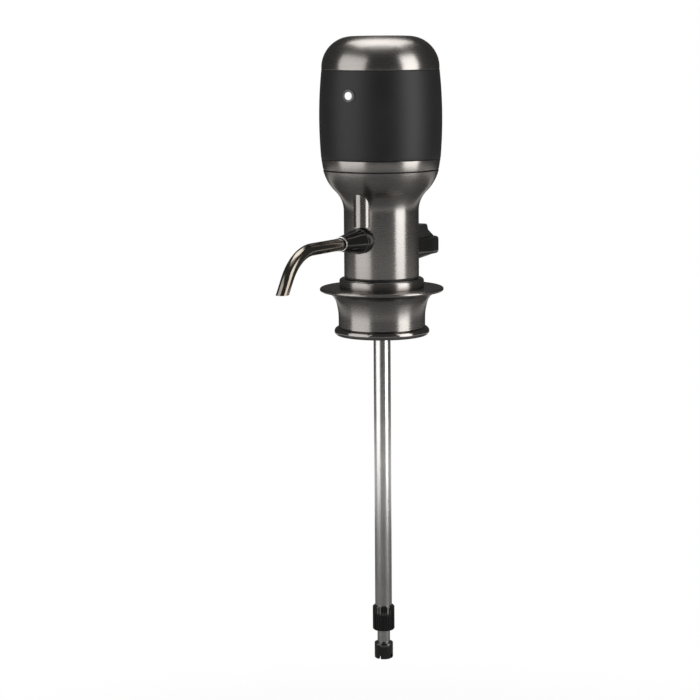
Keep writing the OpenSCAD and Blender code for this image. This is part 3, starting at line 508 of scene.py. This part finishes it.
def coil(name, place, radius, topRadius, wire, height, turns):
    # round wire wound up from the middle of its foot, all in mm
    fresh()
    bpy.ops.mesh.primitive_circle_add(vertices=10, radius=wire * mm, rotation=(math.pi / 2, 0, 0),
                                      location=((radius - wire) * mm, 0, wire * mm))
    piece = bpy.context.object
    piece.name = piece.data.name = name
    bpy.ops.object.transform_apply(location=True, rotation=True, scale=True)
    bpy.ops.object.modifier_add(type="SCREW")
    winding = piece.modifiers[-1]
    winding.steps = winding.render_steps = 28
    winding.screw_offset, winding.iterations = (height - 2 * wire) / turns * mm, turns
    bpy.ops.object.modifier_apply(modifier=winding.name)
    bpy.ops.object.modifier_add(type="SIMPLE_DEFORM")
    cone = piece.modifiers[-1]
    cone.deform_method, cone.deform_axis, cone.factor = "TAPER", "Z", topRadius / radius - 1
    bpy.ops.object.modifier_apply(modifier=cone.name)
    bpy.ops.object.mode_set(mode="EDIT")
    bpy.ops.mesh.select_all(action="SELECT")
    bpy.ops.mesh.fill_holes(sides=0)
    bpy.ops.mesh.select_all(action="SELECT")
    bpy.ops.transform.translate(value=Vector(place) * mm)
    closeUp()
    smooth(piece, 60)
    return piece


def joinAll(pieces):
    fresh()
    for piece in pieces:
        piece.select_set(True)
    bpy.context.view_layer.objects.active = pieces[0]
    bpy.ops.object.join()
    return pieces[0]


def combine(piece, other, operation):
    focus(piece)
    bpy.ops.object.modifier_add(type="BOOLEAN")
    cut = piece.modifiers[-1]
    cut.object, cut.operation, cut.solver = other, operation, "EXACT"
    bpy.ops.object.modifier_apply(modifier=cut.name)
    bpy.data.objects.remove(other)


def roundEdges(piece, width, segments=2, angle=30):
    focus(piece)
    bpy.ops.object.modifier_add(type="BEVEL")
    edge = piece.modifiers[-1]
    edge.width, edge.segments, edge.limit_method, edge.angle_limit = width * mm, segments, "ANGLE", math.radians(angle)
    edge.harden_normals = False
    bpy.ops.object.modifier_apply(modifier=edge.name)


def dress(piece, body, slotName, nodes, finish=None):
    piece.data.materials.clear()
    piece.data.materials.append(finish or finishes[slotName])
    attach(piece, body)
    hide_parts(*nodes)


# skirt: flange with a round rim, flared skirt and a bead at the foot
skirtPlan = {"top": 6.6, "under": 4.9, "rimRadius": 28.15, "bore": 15.2, "foot": -15.85,
             "smallFlare": ((28.15, -2.144), 7.044), "longFlare": ((48.3, -7.9), 28.0), "join": 164.05,
             "wall": 20.3, "bead": 1.95, "boreEdge": 0.5}


def makeSkirt():
    plan = skirtPlan
    middle = (plan["top"] + plan["under"]) / 2
    rim = arc((plan["rimRadius"], middle), (plan["top"] - plan["under"]) / 2, 90, -90, 12)
    small = arc(*plan["smallFlare"], 90, plan["join"], 14)
    long = arc(*plan["longFlare"], plan["join"], 180, 10)
    bead = arc((plan["wall"], plan["foot"] + plan["bead"]), plan["bead"], 90, -90, 20)
    outline = [(plan["bore"], plan["foot"], plan["boreEdge"]), (plan["bore"], plan["top"])]
    outline += rim + small[1:] + long[1:] + bead
    piece = lathe("skirtShell", outline)
    dress(piece, "base", "gunmetal", ["base_skirt"])


collarPlan = {"bore": 16.7, "radius": 19.8, "foot": 6.6, "top": 11.0, "edge": 1.2, "footEdge": 0.15,
              "boreEdge": 0.2}


def makeCollar():
    plan = collarPlan
    piece = lathe("footCollar", [(plan["bore"], plan["foot"]), (plan["radius"], plan["foot"], plan["footEdge"]),
                                 (plan["radius"], plan["top"], plan["edge"]),
                                 (plan["bore"], plan["top"], plan["boreEdge"])])
    dress(piece, "base", "gunmetal", ["base_collar"])


gasketPlan = {"bore": 16.6, "radius": 17.1, "foot": 11.0, "top": 11.9, "edge": 0.2}


def makeGasket():
    plan = gasketPlan
    piece = lathe("neckGasket", [(plan["bore"], plan["foot"]), (plan["radius"], plan["foot"], plan["edge"]),
                                 (plan["radius"], plan["top"], plan["edge"]), (plan["bore"], plan["top"])])
    dress(piece, "base", "seal_black", ["neck_gasket"])


# neck: straight tube that opens into a bell, with a half-round column on the spout's side
neckPlan = {"radius": 17.5, "spigot": 16.6, "foot": 8.4, "shelf": 11.9, "seam": 61.5, "wall": 1.6,
            "flare": ((30.2, 42.6), 12.7), "shoulder": ((6.524, 66.582), 21.0), "meet": (21.278, 51.638),
            "columnRadius": 4.1, "columnOut": 16.9, "columnFoot": 36.3, "columnTop": 53.64,
            "portHeight": 30.0, "portRadius": 2.95, "footEdge": 0.2, "portReach": (10, 25)}


def makeNeck():
    plan = neckPlan
    (flareAt, flareR), (bellAt, bellR) = plan["flare"], plan["shoulder"]
    meet = Vector(plan["meet"])
    joinFlare = math.degrees(math.atan2(meet.y - flareAt[1], meet.x - flareAt[0]))
    joinBell = math.degrees(math.atan2(meet.y - bellAt[1], meet.x - bellAt[0]))
    endBell = math.degrees(math.asin((plan["seam"] - bellAt[1]) / bellR))
    outside = (arc(flareAt, flareR, 180, joinFlare, 16) + arc(bellAt, bellR, joinBell, endBell, 16)[1:])
    solid = lathe("neckShell", [(0, plan["foot"]), (plan["spigot"], plan["foot"]), (plan["spigot"], plan["shelf"]),
                                (plan["radius"], plan["shelf"], plan["footEdge"])] + outside + [(0, plan["seam"])])
    column = rod("neckColumn", plan["columnRadius"], (0, -plan["columnOut"], plan["columnFoot"]),
                 (0, -plan["columnOut"], plan["columnTop"]), 64)
    combine(solid, column, "UNION")
    wall = plan["wall"]
    inside = (arc(flareAt, flareR + wall, 180, joinFlare, 16) + arc(bellAt, bellR - wall, joinBell, endBell, 16)[1:])
    hollow = [(0, plan["foot"] - 1), (plan["spigot"] - wall, plan["foot"] - 1),
              (plan["spigot"] - wall, plan["shelf"] + 2),
              (plan["radius"] - wall, plan["shelf"] + 2)] + inside
    hollow += [(inside[-1][0], plan["seam"] + 1), (0, plan["seam"] + 1)]
    combine(solid, lathe("neckHollow", hollow), "DIFFERENCE")
    height, (near, far) = plan["portHeight"], plan["portReach"]
    combine(solid, rod("portHole", plan["portRadius"], (0, -near, height), (0, -far, height)), "DIFFERENCE")
    smooth(solid, 28)
    dress(solid, "base", "gunmetal", ["neck_shell"])


trimPlan = {"bore": 25.85, "foot": 62.0, "top": 67.1, "low": 26.9, "high": 27.77, "edge": 0.35}


def makeTrim():
    plan = trimPlan
    piece = lathe("trimRing", [(plan["bore"], plan["foot"]), (plan["low"], plan["foot"], plan["edge"]),
                               (plan["high"], plan["top"], plan["edge"]), (plan["bore"], plan["top"])])
    dress(piece, "cover", "gunmetal", ["trim_ring"])


# band: soft sleeve that swells a little round its middle
bandPlan = {"bore": 25.85, "foot": 67.1, "top": 108.15, "widest": 28.55, "widestAt": 85.4, "sweep": 215.0,
            "edge": 0.3, "buttonAt": 96.8, "buttonHole": 2.95, "holeReach": (20, 35)}


def makeBand():
    plan = bandPlan
    middle = (plan["widest"] - plan["sweep"], plan["widestAt"])
    low = math.degrees(math.asin((plan["foot"] - plan["widestAt"]) / plan["sweep"]))
    high = math.degrees(math.asin((plan["top"] - plan["widestAt"]) / plan["sweep"]))
    outside = arc(middle, plan["sweep"], low, high, 18)
    outside[0] = (*outside[0], plan["edge"])
    outside[-1] = (*outside[-1], plan["edge"])
    piece = lathe("gripBand", [(plan["bore"], plan["foot"])] + outside + [(plan["bore"], plan["top"])])
    near, far = plan["holeReach"]
    hole = rod("buttonHole", plan["buttonHole"], (0, -near, plan["buttonAt"]), (0, -far, plan["buttonAt"]))
    combine(piece, hole, "DIFFERENCE")
    smooth(piece)
    dress(piece, "cover", "soft_black", ["grip_band"])


capPlan = {"radius": 27.343, "foot": 108.15, "top": 123.2, "shoulder": 14.3, "wall": 1.4, "spigot": (24.35, 25.85),
           "spigotFoot": 104.85, "footEdge": 0.3}


def makeCap():
    plan = capPlan
    flat = plan["radius"] - plan["shoulder"]
    level = plan["top"] - plan["shoulder"]
    wall = plan["wall"]
    outside = arc((flat, level), plan["shoulder"], 0, 90, 22)
    inside = arc((flat, level), plan["shoulder"] - wall, 90, 0, 16)
    low, high = plan["spigot"]
    outline = [(high, plan["foot"]), (plan["radius"], plan["foot"], plan["footEdge"])] + outside + [(0, plan["top"])]
    outline += [(0, plan["top"] - wall)] + inside
    outline += [(low, level), (low, plan["spigotFoot"]), (high, plan["spigotFoot"])]
    piece = lathe("topCap", outline)
    dress(piece, "cover", "gunmetal", ["top_cap"])


# button: lens with a painted glow, white in the middle fading to grey at its rim, in a dished grey bezel
bezelPlan = {"radius": 2.9, "bore": 1.9, "back": 25.85, "front": 28.69, "dish": 0.18, "land": 0.22,
             "edge": 0.06, "lip": 0.05}


def makeBezel():
    plan = bezelPlan
    piece = lathe("buttonBezel", [(plan["bore"], plan["back"]), (plan["radius"], plan["back"]),
                                  (plan["radius"], plan["front"], plan["edge"]),
                                  (plan["radius"] - plan["land"], plan["front"], plan["edge"]),
                                  (plan["bore"], plan["front"] - plan["dish"], plan["lip"])], 72, bandPlan["buttonAt"])
    dress(piece, "cover", "moulded_grey", ["button_bezel"])


buttonPlan = {"radius": 1.8, "front": 29.14, "crown": 0.3, "flange": (2.3, 27.0, 27.6), "stem": 1.0, "tail": 23.75,
              "tailEdge": 0.2}


def makeButton():
    plan = buttonPlan
    flange, back, fore = plan["flange"]
    crownRadius = (plan["radius"] ** 2 + plan["crown"] ** 2) / (2 * plan["crown"])
    half = math.degrees(math.asin(plan["radius"] / crownRadius))
    crown = arc((0, plan["front"] - crownRadius), crownRadius, 90 - half, 90, 10)
    piece = lathe("powerButton", [(0, plan["tail"]), (plan["stem"], plan["tail"], plan["tailEdge"]),
                                  (plan["stem"], back), (flange, back), (flange, fore),
                                  (plan["radius"], fore)] + crown, 64, bandPlan["buttonAt"])
    dress(piece, "button", "clear_white", ["power_button"], paintedGlowButton)


# spout: taper fitting, bright ring and bent tube
fittingPlan = {"level": 30.0, "base": 6.0, "baseEnd": 21.7, "large": 5.7, "small": 3.5, "end": 35.7,
               "bore": 2.85, "neck": 17.8, "lip": 0.2, "back": 15, "saddle": (15, 45), "edge": 0.2}


def makeFitting():
    plan = fittingPlan
    piece = lathe("spoutFitting", [(plan["bore"], plan["back"]), (plan["base"], plan["back"]),
                                   (plan["base"], plan["baseEnd"], plan["lip"]), (plan["large"], plan["baseEnd"]),
                                   (plan["small"], plan["end"], plan["edge"]),
                                   (plan["bore"], plan["end"])], 96, plan["level"])
    low, high = plan["saddle"]
    combine(piece, rod("neckSaddle", plan["neck"], (0, 0, low), (0, 0, high), 144), "DIFFERENCE")
    smooth(piece, 28)
    dress(piece, "spout", "gloss_black", ["spout_fitting"])


ringPlan = {"radius": 3.45, "bore": 3.05, "back": 35.7, "front": 36.5, "backEdge": 0.15, "frontEdge": 0.2}


def makeRing():
    plan = ringPlan
    piece = lathe("spoutRing", [(plan["bore"], plan["back"]), (plan["radius"], plan["back"], plan["backEdge"]),
                                (plan["radius"], plan["front"], plan["frontEdge"]), (plan["bore"], plan["front"])],
                  72, fittingPlan["level"])
    dress(piece, "spout", "steel", ["spout_ring"])


tubePlan = {"radius": 2.8, "wall": 0.6, "start": 25.7, "bendStart": 60.5, "bendRadius": 24.5, "bend": 58.0, "tail": 7.5,
            "level": 30.0, "tipHeight": 12.12, "cutHalf": 5, "cutReach": (60, 120), "cutDepth": 30, "edge": 0.12}


def makeSpoutTube():
    plan = tubePlan
    fresh()
    bpy.ops.mesh.primitive_circle_add(vertices=64, radius=plan["radius"] * mm, rotation=(math.pi / 2, 0, 0),
                                      location=(0, -plan["start"] * mm, plan["level"] * mm))
    piece = bpy.context.object
    piece.name = piece.data.name = "spoutTube"
    bpy.ops.object.transform_apply(location=True, rotation=True, scale=True)
    bpy.ops.object.mode_set(mode="EDIT")
    bpy.ops.mesh.select_all(action="SELECT")
    bpy.ops.mesh.extrude_region_move(
        TRANSFORM_OT_translate={"value": (0, (plan["start"] - plan["bendStart"]) * mm, 0)})
    hinge = (0, -plan["bendStart"] * mm, (plan["level"] - plan["bendRadius"]) * mm)
    bend = math.radians(plan["bend"])
    bpy.ops.mesh.spin(steps=28, angle=-bend, center=hinge, axis=(1, 0, 0))
    reach = plan["tail"] + 2 * plan["radius"]
    bpy.ops.mesh.extrude_region_move(
        TRANSFORM_OT_translate={"value": Vector((0, -math.cos(bend), -math.sin(bend))) * reach * mm})
    closeUp()
    focus(piece)
    bpy.ops.object.modifier_add(type="SOLIDIFY")
    shell = piece.modifiers[-1]
    shell.thickness, shell.offset, shell.use_even_offset = plan["wall"] * mm, -1, True
    bpy.ops.object.modifier_apply(modifier=shell.name)
    half, (near, far), tip = plan["cutHalf"], plan["cutReach"], plan["tipHeight"]
    combine(piece, block("tipCut", (-half, -far, tip - plan["cutDepth"]), (half, -near, tip)), "DIFFERENCE")
    roundEdges(piece, plan["edge"], 2, 50)
    smooth(piece, 35)
    dress(piece, "spout", "steel", ["spout_tube"], spoutMetal)


# rear bracket: open trough on the neck, with a gusset under it
bracketPlan = {"half": 10.25, "end": 38.0, "foot": 19.5, "top": 27.9, "corner": 2.5, "trough": (8.6, 19.2, 36.35),
               "floor": 22.3, "gusset": 1.2, "gussetEnd": 34.5, "neck": 17.55, "rim": 1.5, "sole": 1.6, "edge": 0.15,
               "back": 12, "clear": 13, "lap": 0.5, "gussetIn": 2, "saddle": (10, 40), "over": 5}


def makeBracket():
    plan = bracketPlan
    piece = block("rearBracket", (-plan["half"], plan["back"], plan["foot"]), (plan["half"], plan["end"], plan["top"]))
    bpy.ops.object.mode_set(mode="EDIT")
    take("edges", lambda at, along: abs(along.z) > 0.9 and at.y > (plan["end"] - 1) * mm)
    bpy.ops.mesh.bevel(offset=plan["corner"] * mm, segments=8, affect="EDGES")
    take("edges", lambda at, along: at.z > (plan["top"] - 0.1) * mm and at.y > plan["clear"] * mm)
    bpy.ops.mesh.bevel(offset=plan["rim"] * mm, segments=6, affect="EDGES")
    take("edges", lambda at, along: at.z < (plan["foot"] + 0.1) * mm and at.y > plan["clear"] * mm)
    bpy.ops.mesh.bevel(offset=plan["sole"] * mm, segments=3, affect="EDGES")
    closeUp()
    half, near, far = plan["trough"]
    combine(piece, block("trough", (-half, near, plan["floor"]), (half, far, plan["top"] + plan["over"])), "DIFFERENCE")
    inner, lap, under = plan["gussetEnd"] - plan["gussetIn"], plan["foot"] + plan["lap"], plan["foot"] - plan["gusset"]
    side = [(plan["back"], lap), (inner, lap), (inner, plan["foot"]), (plan["neck"], under), (plan["back"], under)]
    combine(piece, slab("bracketGusset", side, plan["half"] - plan["sole"]), "UNION")
    low, high = plan["saddle"]
    combine(piece, rod("bracketSaddle", plan["neck"], (0, 0, low), (0, 0, high), 144), "DIFFERENCE")
    roundEdges(piece, plan["edge"], 2, 40)
    smooth(piece, 40)
    dress(piece, "base", "gloss_black", ["rear_bracket"])


# thumb lever: wedge with grip ribs on its pad and a boss round its pin
leverPlan = {"half": 8.2, "foot": 26.0, "front": 20.0, "top": 33.9, "padEnd": 29.0, "step": (29.8, 31.5),
             "slopeEnd": (35.05, 28.2), "pin": (33.45, 25.4), "boss": 2.4, "pinRadius": 1.05,
             "ribs": 4, "ribPitch": 2.0, "ribRadius": 0.45, "edge": 0.3, "nose": 0.4, "holeHalf": 12, "bossFrom": 30}


def makeLever():
    plan = leverPlan
    side = [(plan["front"], plan["foot"]), (plan["front"], plan["top"] - plan["nose"]),
            (plan["front"] + plan["nose"], plan["top"])]
    for k in range(plan["ribs"]):
        side += arc((plan["front"] + (k + 1) * plan["ribPitch"], plan["top"]), plan["ribRadius"], 180, 0, 6)
    side += [(plan["padEnd"], plan["top"]), plan["step"], plan["slopeEnd"]]
    pin, boss = plan["pin"], plan["boss"]
    rise = math.degrees(math.asin((plan["foot"] - pin[1]) / boss))
    side += arc(pin, boss, plan["bossFrom"], rise - 180, 18)
    piece = slab("thumbLever", side, plan["half"])
    reach = plan["holeHalf"]
    combine(piece, rod("pinHole", plan["pinRadius"], (-reach, *pin), (reach, *pin), 40), "DIFFERENCE")
    roundEdges(piece, plan["edge"], 3, 40)
    smooth(piece, 40)
    dress(piece, "lever", "soft_black", ["thumb_lever"])


# return springs under the lever; keep is their share of length when the lever is down
leverSpringPlan = {"across": 5.3, "out": 22.4, "foot": 22.3, "height": 3.7, "radius": 1.6, "wire": 0.22, "turns": 4,
                   "keep": 0.575}


def makeLeverSprings():
    plan = leverSpringPlan
    pieces = [coil(name, (side * plan["across"], plan["out"], plan["foot"]), plan["radius"], plan["radius"],
                   plan["wire"], plan["height"], plan["turns"])
              for name, side in (("leverSprings", -1), ("secondSpring", 1))]
    piece = joinAll(pieces)
    dress(piece, "base", "steel", ["lever_springs"])
    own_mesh(piece)


# cone springs under the cells
contactPlan = {"cells": 6, "pitch": 12.85, "foot": 63.5, "height": 4.0, "radius": 4.25, "topRadius": 2.85, "wire": 0.3,
               "turns": 4}


def makeContacts():
    plan = contactPlan
    pieces = []
    for k in range(plan["cells"]):
        angle = 2 * math.pi * k / plan["cells"]
        place = (plan["pitch"] * math.cos(angle), plan["pitch"] * math.sin(angle), plan["foot"])
        pieces.append(coil("contactSpring" + str(k), place, plan["radius"], plan["topRadius"], plan["wire"],
                           plan["height"], plan["turns"]))
    piece = joinAll(pieces)
    piece.name = piece.data.name = "contactSprings"
    dress(piece, "base", "steel", ["contact_springs"])


# plug and dip tube
plugPlan = {"radius": 9.25, "groove": 8.6, "ribs": 3, "foot": -13.0, "seat": (15.1, 0.0, 3.0), "bore": 4.0,
            "chamfer": 1.5, "footEdge": 0.4, "edge": 0.3, "ribShares": (0.42, 0.58, 0.85)}


def makePlug():
    plan = plugPlan
    seat, seatFoot, seatTop = plan["seat"]
    wide, narrow, edge = plan["radius"], plan["groove"], plan["edge"]
    outline = [(plan["bore"], seatTop), (plan["bore"], plan["foot"])]
    outline.append((wide - plan["chamfer"], plan["foot"], plan["footEdge"]))
    height = plan["foot"] + plan["chamfer"]
    pitch = (seatFoot - height) / plan["ribs"]
    crest, valley, end = [share * pitch for share in plan["ribShares"]]
    for k in range(plan["ribs"]):
        base = height + k * pitch
        outline += [(wide, base, edge), (wide, base + crest, edge), (narrow, base + valley, edge), (narrow, base + end)]
    outline += [(narrow, seatFoot), (seat, seatFoot, edge), (seat, seatTop, edge)]
    piece = lathe("bottlePlug", outline)
    dress(piece, "base", "seal_black", ["bottle_plug"])


dipPlan = {"radius": 4.0, "bore": 3.2, "foot": -150.0, "top": 9.0, "edge": 0.15}


def tubeOutline(plan):
    corners = ((plan["bore"], plan["foot"]), (plan["radius"], plan["foot"]), (plan["radius"], plan["top"]),
               (plan["bore"], plan["top"]))
    return [(*corner, plan["edge"]) for corner in corners]


def makeDipTube():
    piece = lathe("dipTube", tubeOutline(dipPlan), 64)
    dress(piece, "base", "steel", ["dip_tube"])


innerPlan = {"radius": 3.0, "bore": 2.2, "foot": -168.0, "top": -28.0, "edge": 0.15}


def makeInnerTube():
    piece = lathe("innerTube", tubeOutline(innerPlan), 64)
    dress(piece, "dip_lower", "steel", ["inner_tube"])


# gland nut with grip ribs at the foot of the fixed tube
glandPlan = {"radius": 4.9, "bore": 4.0, "lowBore": 3.1, "foot": -158.0, "shelf": -150.0, "top": -146.0, "steps": 48,
             "rib": 0.3, "ribGap": 0.07, "edge": 0.5, "lowEdge": 0.2, "boreEdge": 0.15}


def makeGland():
    plan = glandPlan
    piece = lathe("tubeGland", [(plan["lowBore"], plan["foot"], plan["lowEdge"]),
                                (plan["radius"], plan["foot"], plan["edge"]),
                                (plan["radius"], plan["top"], plan["edge"]),
                                (plan["bore"], plan["top"], plan["boreEdge"]),
                                (plan["bore"], plan["shelf"]), (plan["lowBore"], plan["shelf"])], plan["steps"])
    bpy.ops.object.mode_set(mode="EDIT")
    stepAngle = 2 * math.pi / plan["steps"]
    take("faces", lambda at, normal: at.xy.length > (plan["radius"] - 0.1) * mm and abs(normal.z) < 0.1
         and int(math.atan2(at.y, at.x) // stepAngle) % 2 == 0)
    bpy.ops.mesh.inset(thickness=plan["ribGap"] * mm, depth=plan["rib"] * mm, use_individual=True)
    closeUp()
    smooth(piece)
    dress(piece, "base", "gloss_black", ["tube_gland"])


# intake tip with crossed slots
tipPlan = {"radius": 4.4, "socket": 3.0, "bore": 2.2, "foot": -172.0, "shelf": -168.0, "top": -164.0, "slot": 1.6,
           "slotTop": -169.5, "edge": 0.12, "boreEdge": 0.2, "footEdge": 0.9, "topEdge": 0.5, "socketEdge": 0.15}


def makeTip():
    plan = tipPlan
    piece = lathe("intakeTip", [(plan["bore"], plan["foot"], plan["boreEdge"]),
                                (plan["radius"], plan["foot"], plan["footEdge"]),
                                (plan["radius"], plan["top"], plan["topEdge"]),
                                (plan["socket"], plan["top"], plan["socketEdge"]),
                                (plan["socket"], plan["shelf"]), (plan["bore"], plan["shelf"])], 72)
    half, out = plan["slot"] / 2, plan["radius"] + 1
    for wide, deep in ((half, out), (out, half)):
        combine(piece, block("tipSlot", (-wide, -deep, plan["foot"] - 1), (wide, deep, plan["slotTop"])), "DIFFERENCE")
    roundEdges(piece, plan["edge"], 2, 50)
    smooth(piece, 40)
    dress(piece, "dip_lower", "gloss_black", ["intake_tip"])


for make in (makeSkirt, makeCollar, makeGasket, makeNeck, makeTrim, makeBand, makeCap, makeBezel, makeButton,
             makeFitting, makeRing, makeSpoutTube, makeBracket, makeLever, makeLeverSprings, makeContacts, makePlug,
             makeDipTube, makeInnerTube, makeGland, makeTip):
    make()
    print("made", make.__name__[4:])


# studio: pale floor, white surround, three soft boxes, and a grey sheet and a grey tent that the camera doesn't see
stagePlan = {"floorLevel": -0.284, "floorSize": 400, "nearGlow": 0.8, "clearFrom": 0.2, "clearTo": 0.4,
             "surround": 0.55, "paper": (0.85, 0.85, 0.85, 1), "sheetRadius": 0.77, "sheetShade": (0.2, 0.2, 0.2, 1)}
tentPlan = {"radius": 1.2, "low": -0.28, "high": 4.0, "level": 0.1}
# angles in degrees from the camera's side, positive to its right; places in m, levels in radiance
boxPlan = {"aim": 0.06, "boxes": {
    "rightBox": {"angle": 60, "away": 0.8, "height": 0.2, "wide": 0.5, "tall": 1.0, "level": 4},
    "leftBox": {"angle": -60, "away": 0.8, "height": 0.2, "wide": 0.9, "tall": 1.0, "level": 2},
    "topBox": {"angle": 180, "away": 0.4, "height": 1.1, "wide": 1.0, "tall": 0.8, "level": 4}}}


def lightPath(tree):
    path = Wire(tree).node("ShaderNodeLightPath", output="Is Camera Ray")
    seen = path.maths("MAXIMUM", path, path.port("Is Glossy Ray"))
    return path.maths("MAXIMUM", seen, path.port("Is Transmission Ray"))


def startStage(name):
    material = bpy.data.materials.new(name)
    material.use_nodes = True
    tree = material.node_tree
    tree.nodes.clear()
    return material, Wire(tree).node("ShaderNodeTexCoord", output="Object")


def endStage(wire, kind="ShaderNodeOutputMaterial"):
    out = wire.tree.nodes.new(kind)
    wire.tree.links.new(wire.socket, out.inputs["Surface"])


def makeFloor():
    plan = stagePlan
    fresh()
    bpy.ops.mesh.primitive_plane_add(size=plan["floorSize"], location=(0, 0, plan["floorLevel"]))
    floor = bpy.context.object
    floor.name = floor.data.name = "paleFloor"
    material, place = startStage("palePaper")
    seen = lightPath(place.tree)
    away = place.node("ShaderNodeVectorMath", {"operation": "LENGTH"}, {0: place}, "Value")
    white = plan["nearGlow"] + levels(away, plan["clearFrom"], plan["clearTo"]) * (1 - plan["nearGlow"])
    paper = place.node("ShaderNodeBsdfDiffuse", {}, {"Color": plan["paper"]})
    glow = place.node("ShaderNodeEmission", {}, {"Color": (1, 1, 1, 1), "Strength": 1.0})
    endStage(place.node("ShaderNodeMixShader", {}, {0: seen * white, 1: paper, 2: glow}))
    floor.data.materials.append(material)
    # grey sheet under the object
    fresh()
    bpy.ops.mesh.primitive_circle_add(vertices=64, radius=plan["sheetRadius"], fill_type="NGON",
                                      location=(0, 0, plan["floorLevel"] + mm))
    sheet = bpy.context.object
    sheet.name = sheet.data.name = "greySheet"
    material, place = startStage("greyPaper")
    endStage(place.node("ShaderNodeBsdfDiffuse", {}, {"Color": plan["sheetShade"]}))
    sheet.data.materials.append(material)
    sheet.visible_camera = sheet.visible_shadow = False


def makeSurround():
    world = bpy.data.worlds.new("whiteSurround")
    bpy.context.scene.world = world
    world.use_nodes = True
    tree = world.node_tree
    tree.nodes.clear()
    seen = lightPath(tree)
    dim = seen.node("ShaderNodeBackground", {}, {"Color": (1, 1, 1, 1), "Strength": stagePlan["surround"]})
    white = seen.node("ShaderNodeBackground", {}, {"Color": (1, 1, 1, 1), "Strength": 1.0})
    endStage(seen.node("ShaderNodeMixShader", {}, {0: seen, 1: dim, 2: white}), "ShaderNodeOutputWorld")


def makeTent():
    plan = tentPlan
    fresh()
    bpy.ops.mesh.primitive_cylinder_add(vertices=96, radius=plan["radius"], depth=plan["high"] - plan["low"],
                                        end_fill_type="NOTHING", location=(0, 0, (plan["high"] + plan["low"]) / 2))
    tent = bpy.context.object
    tent.name = tent.data.name = "lightTent"
    bpy.ops.object.transform_apply(location=True, rotation=True, scale=True)
    material, place = startStage("tentCloth")
    endStage(place.node("ShaderNodeEmission", {}, {"Color": (1, 1, 1, 1), "Strength": plan["level"]}))
    tent.data.materials.append(material)
    tent.visible_camera = False


def makeBox(name, plan):
    turn = math.radians(plan["angle"])
    middle = (viewFront * math.cos(turn) + viewRight * math.sin(turn)) * plan["away"]
    middle.z = plan["height"]
    facing = (middle - Vector((0, 0, boxPlan["aim"]))).to_track_quat("Z", "Y").to_euler()
    fresh()
    bpy.ops.object.light_add(type="AREA", location=middle, rotation=facing)
    lamp = bpy.context.object
    lamp.name = name
    lamp.data.shape, lamp.data.size, lamp.data.size_y = "RECTANGLE", plan["wide"], plan["tall"]
    lamp.data.energy = plan["level"] * math.pi * plan["wide"] * plan["tall"]
    lamp.visible_camera = False


makeFloor()
makeSurround()
makeTent()
for boxName, box in boxPlan["boxes"].items():
    makeBox(boxName, box)
print("studio set")

fresh()
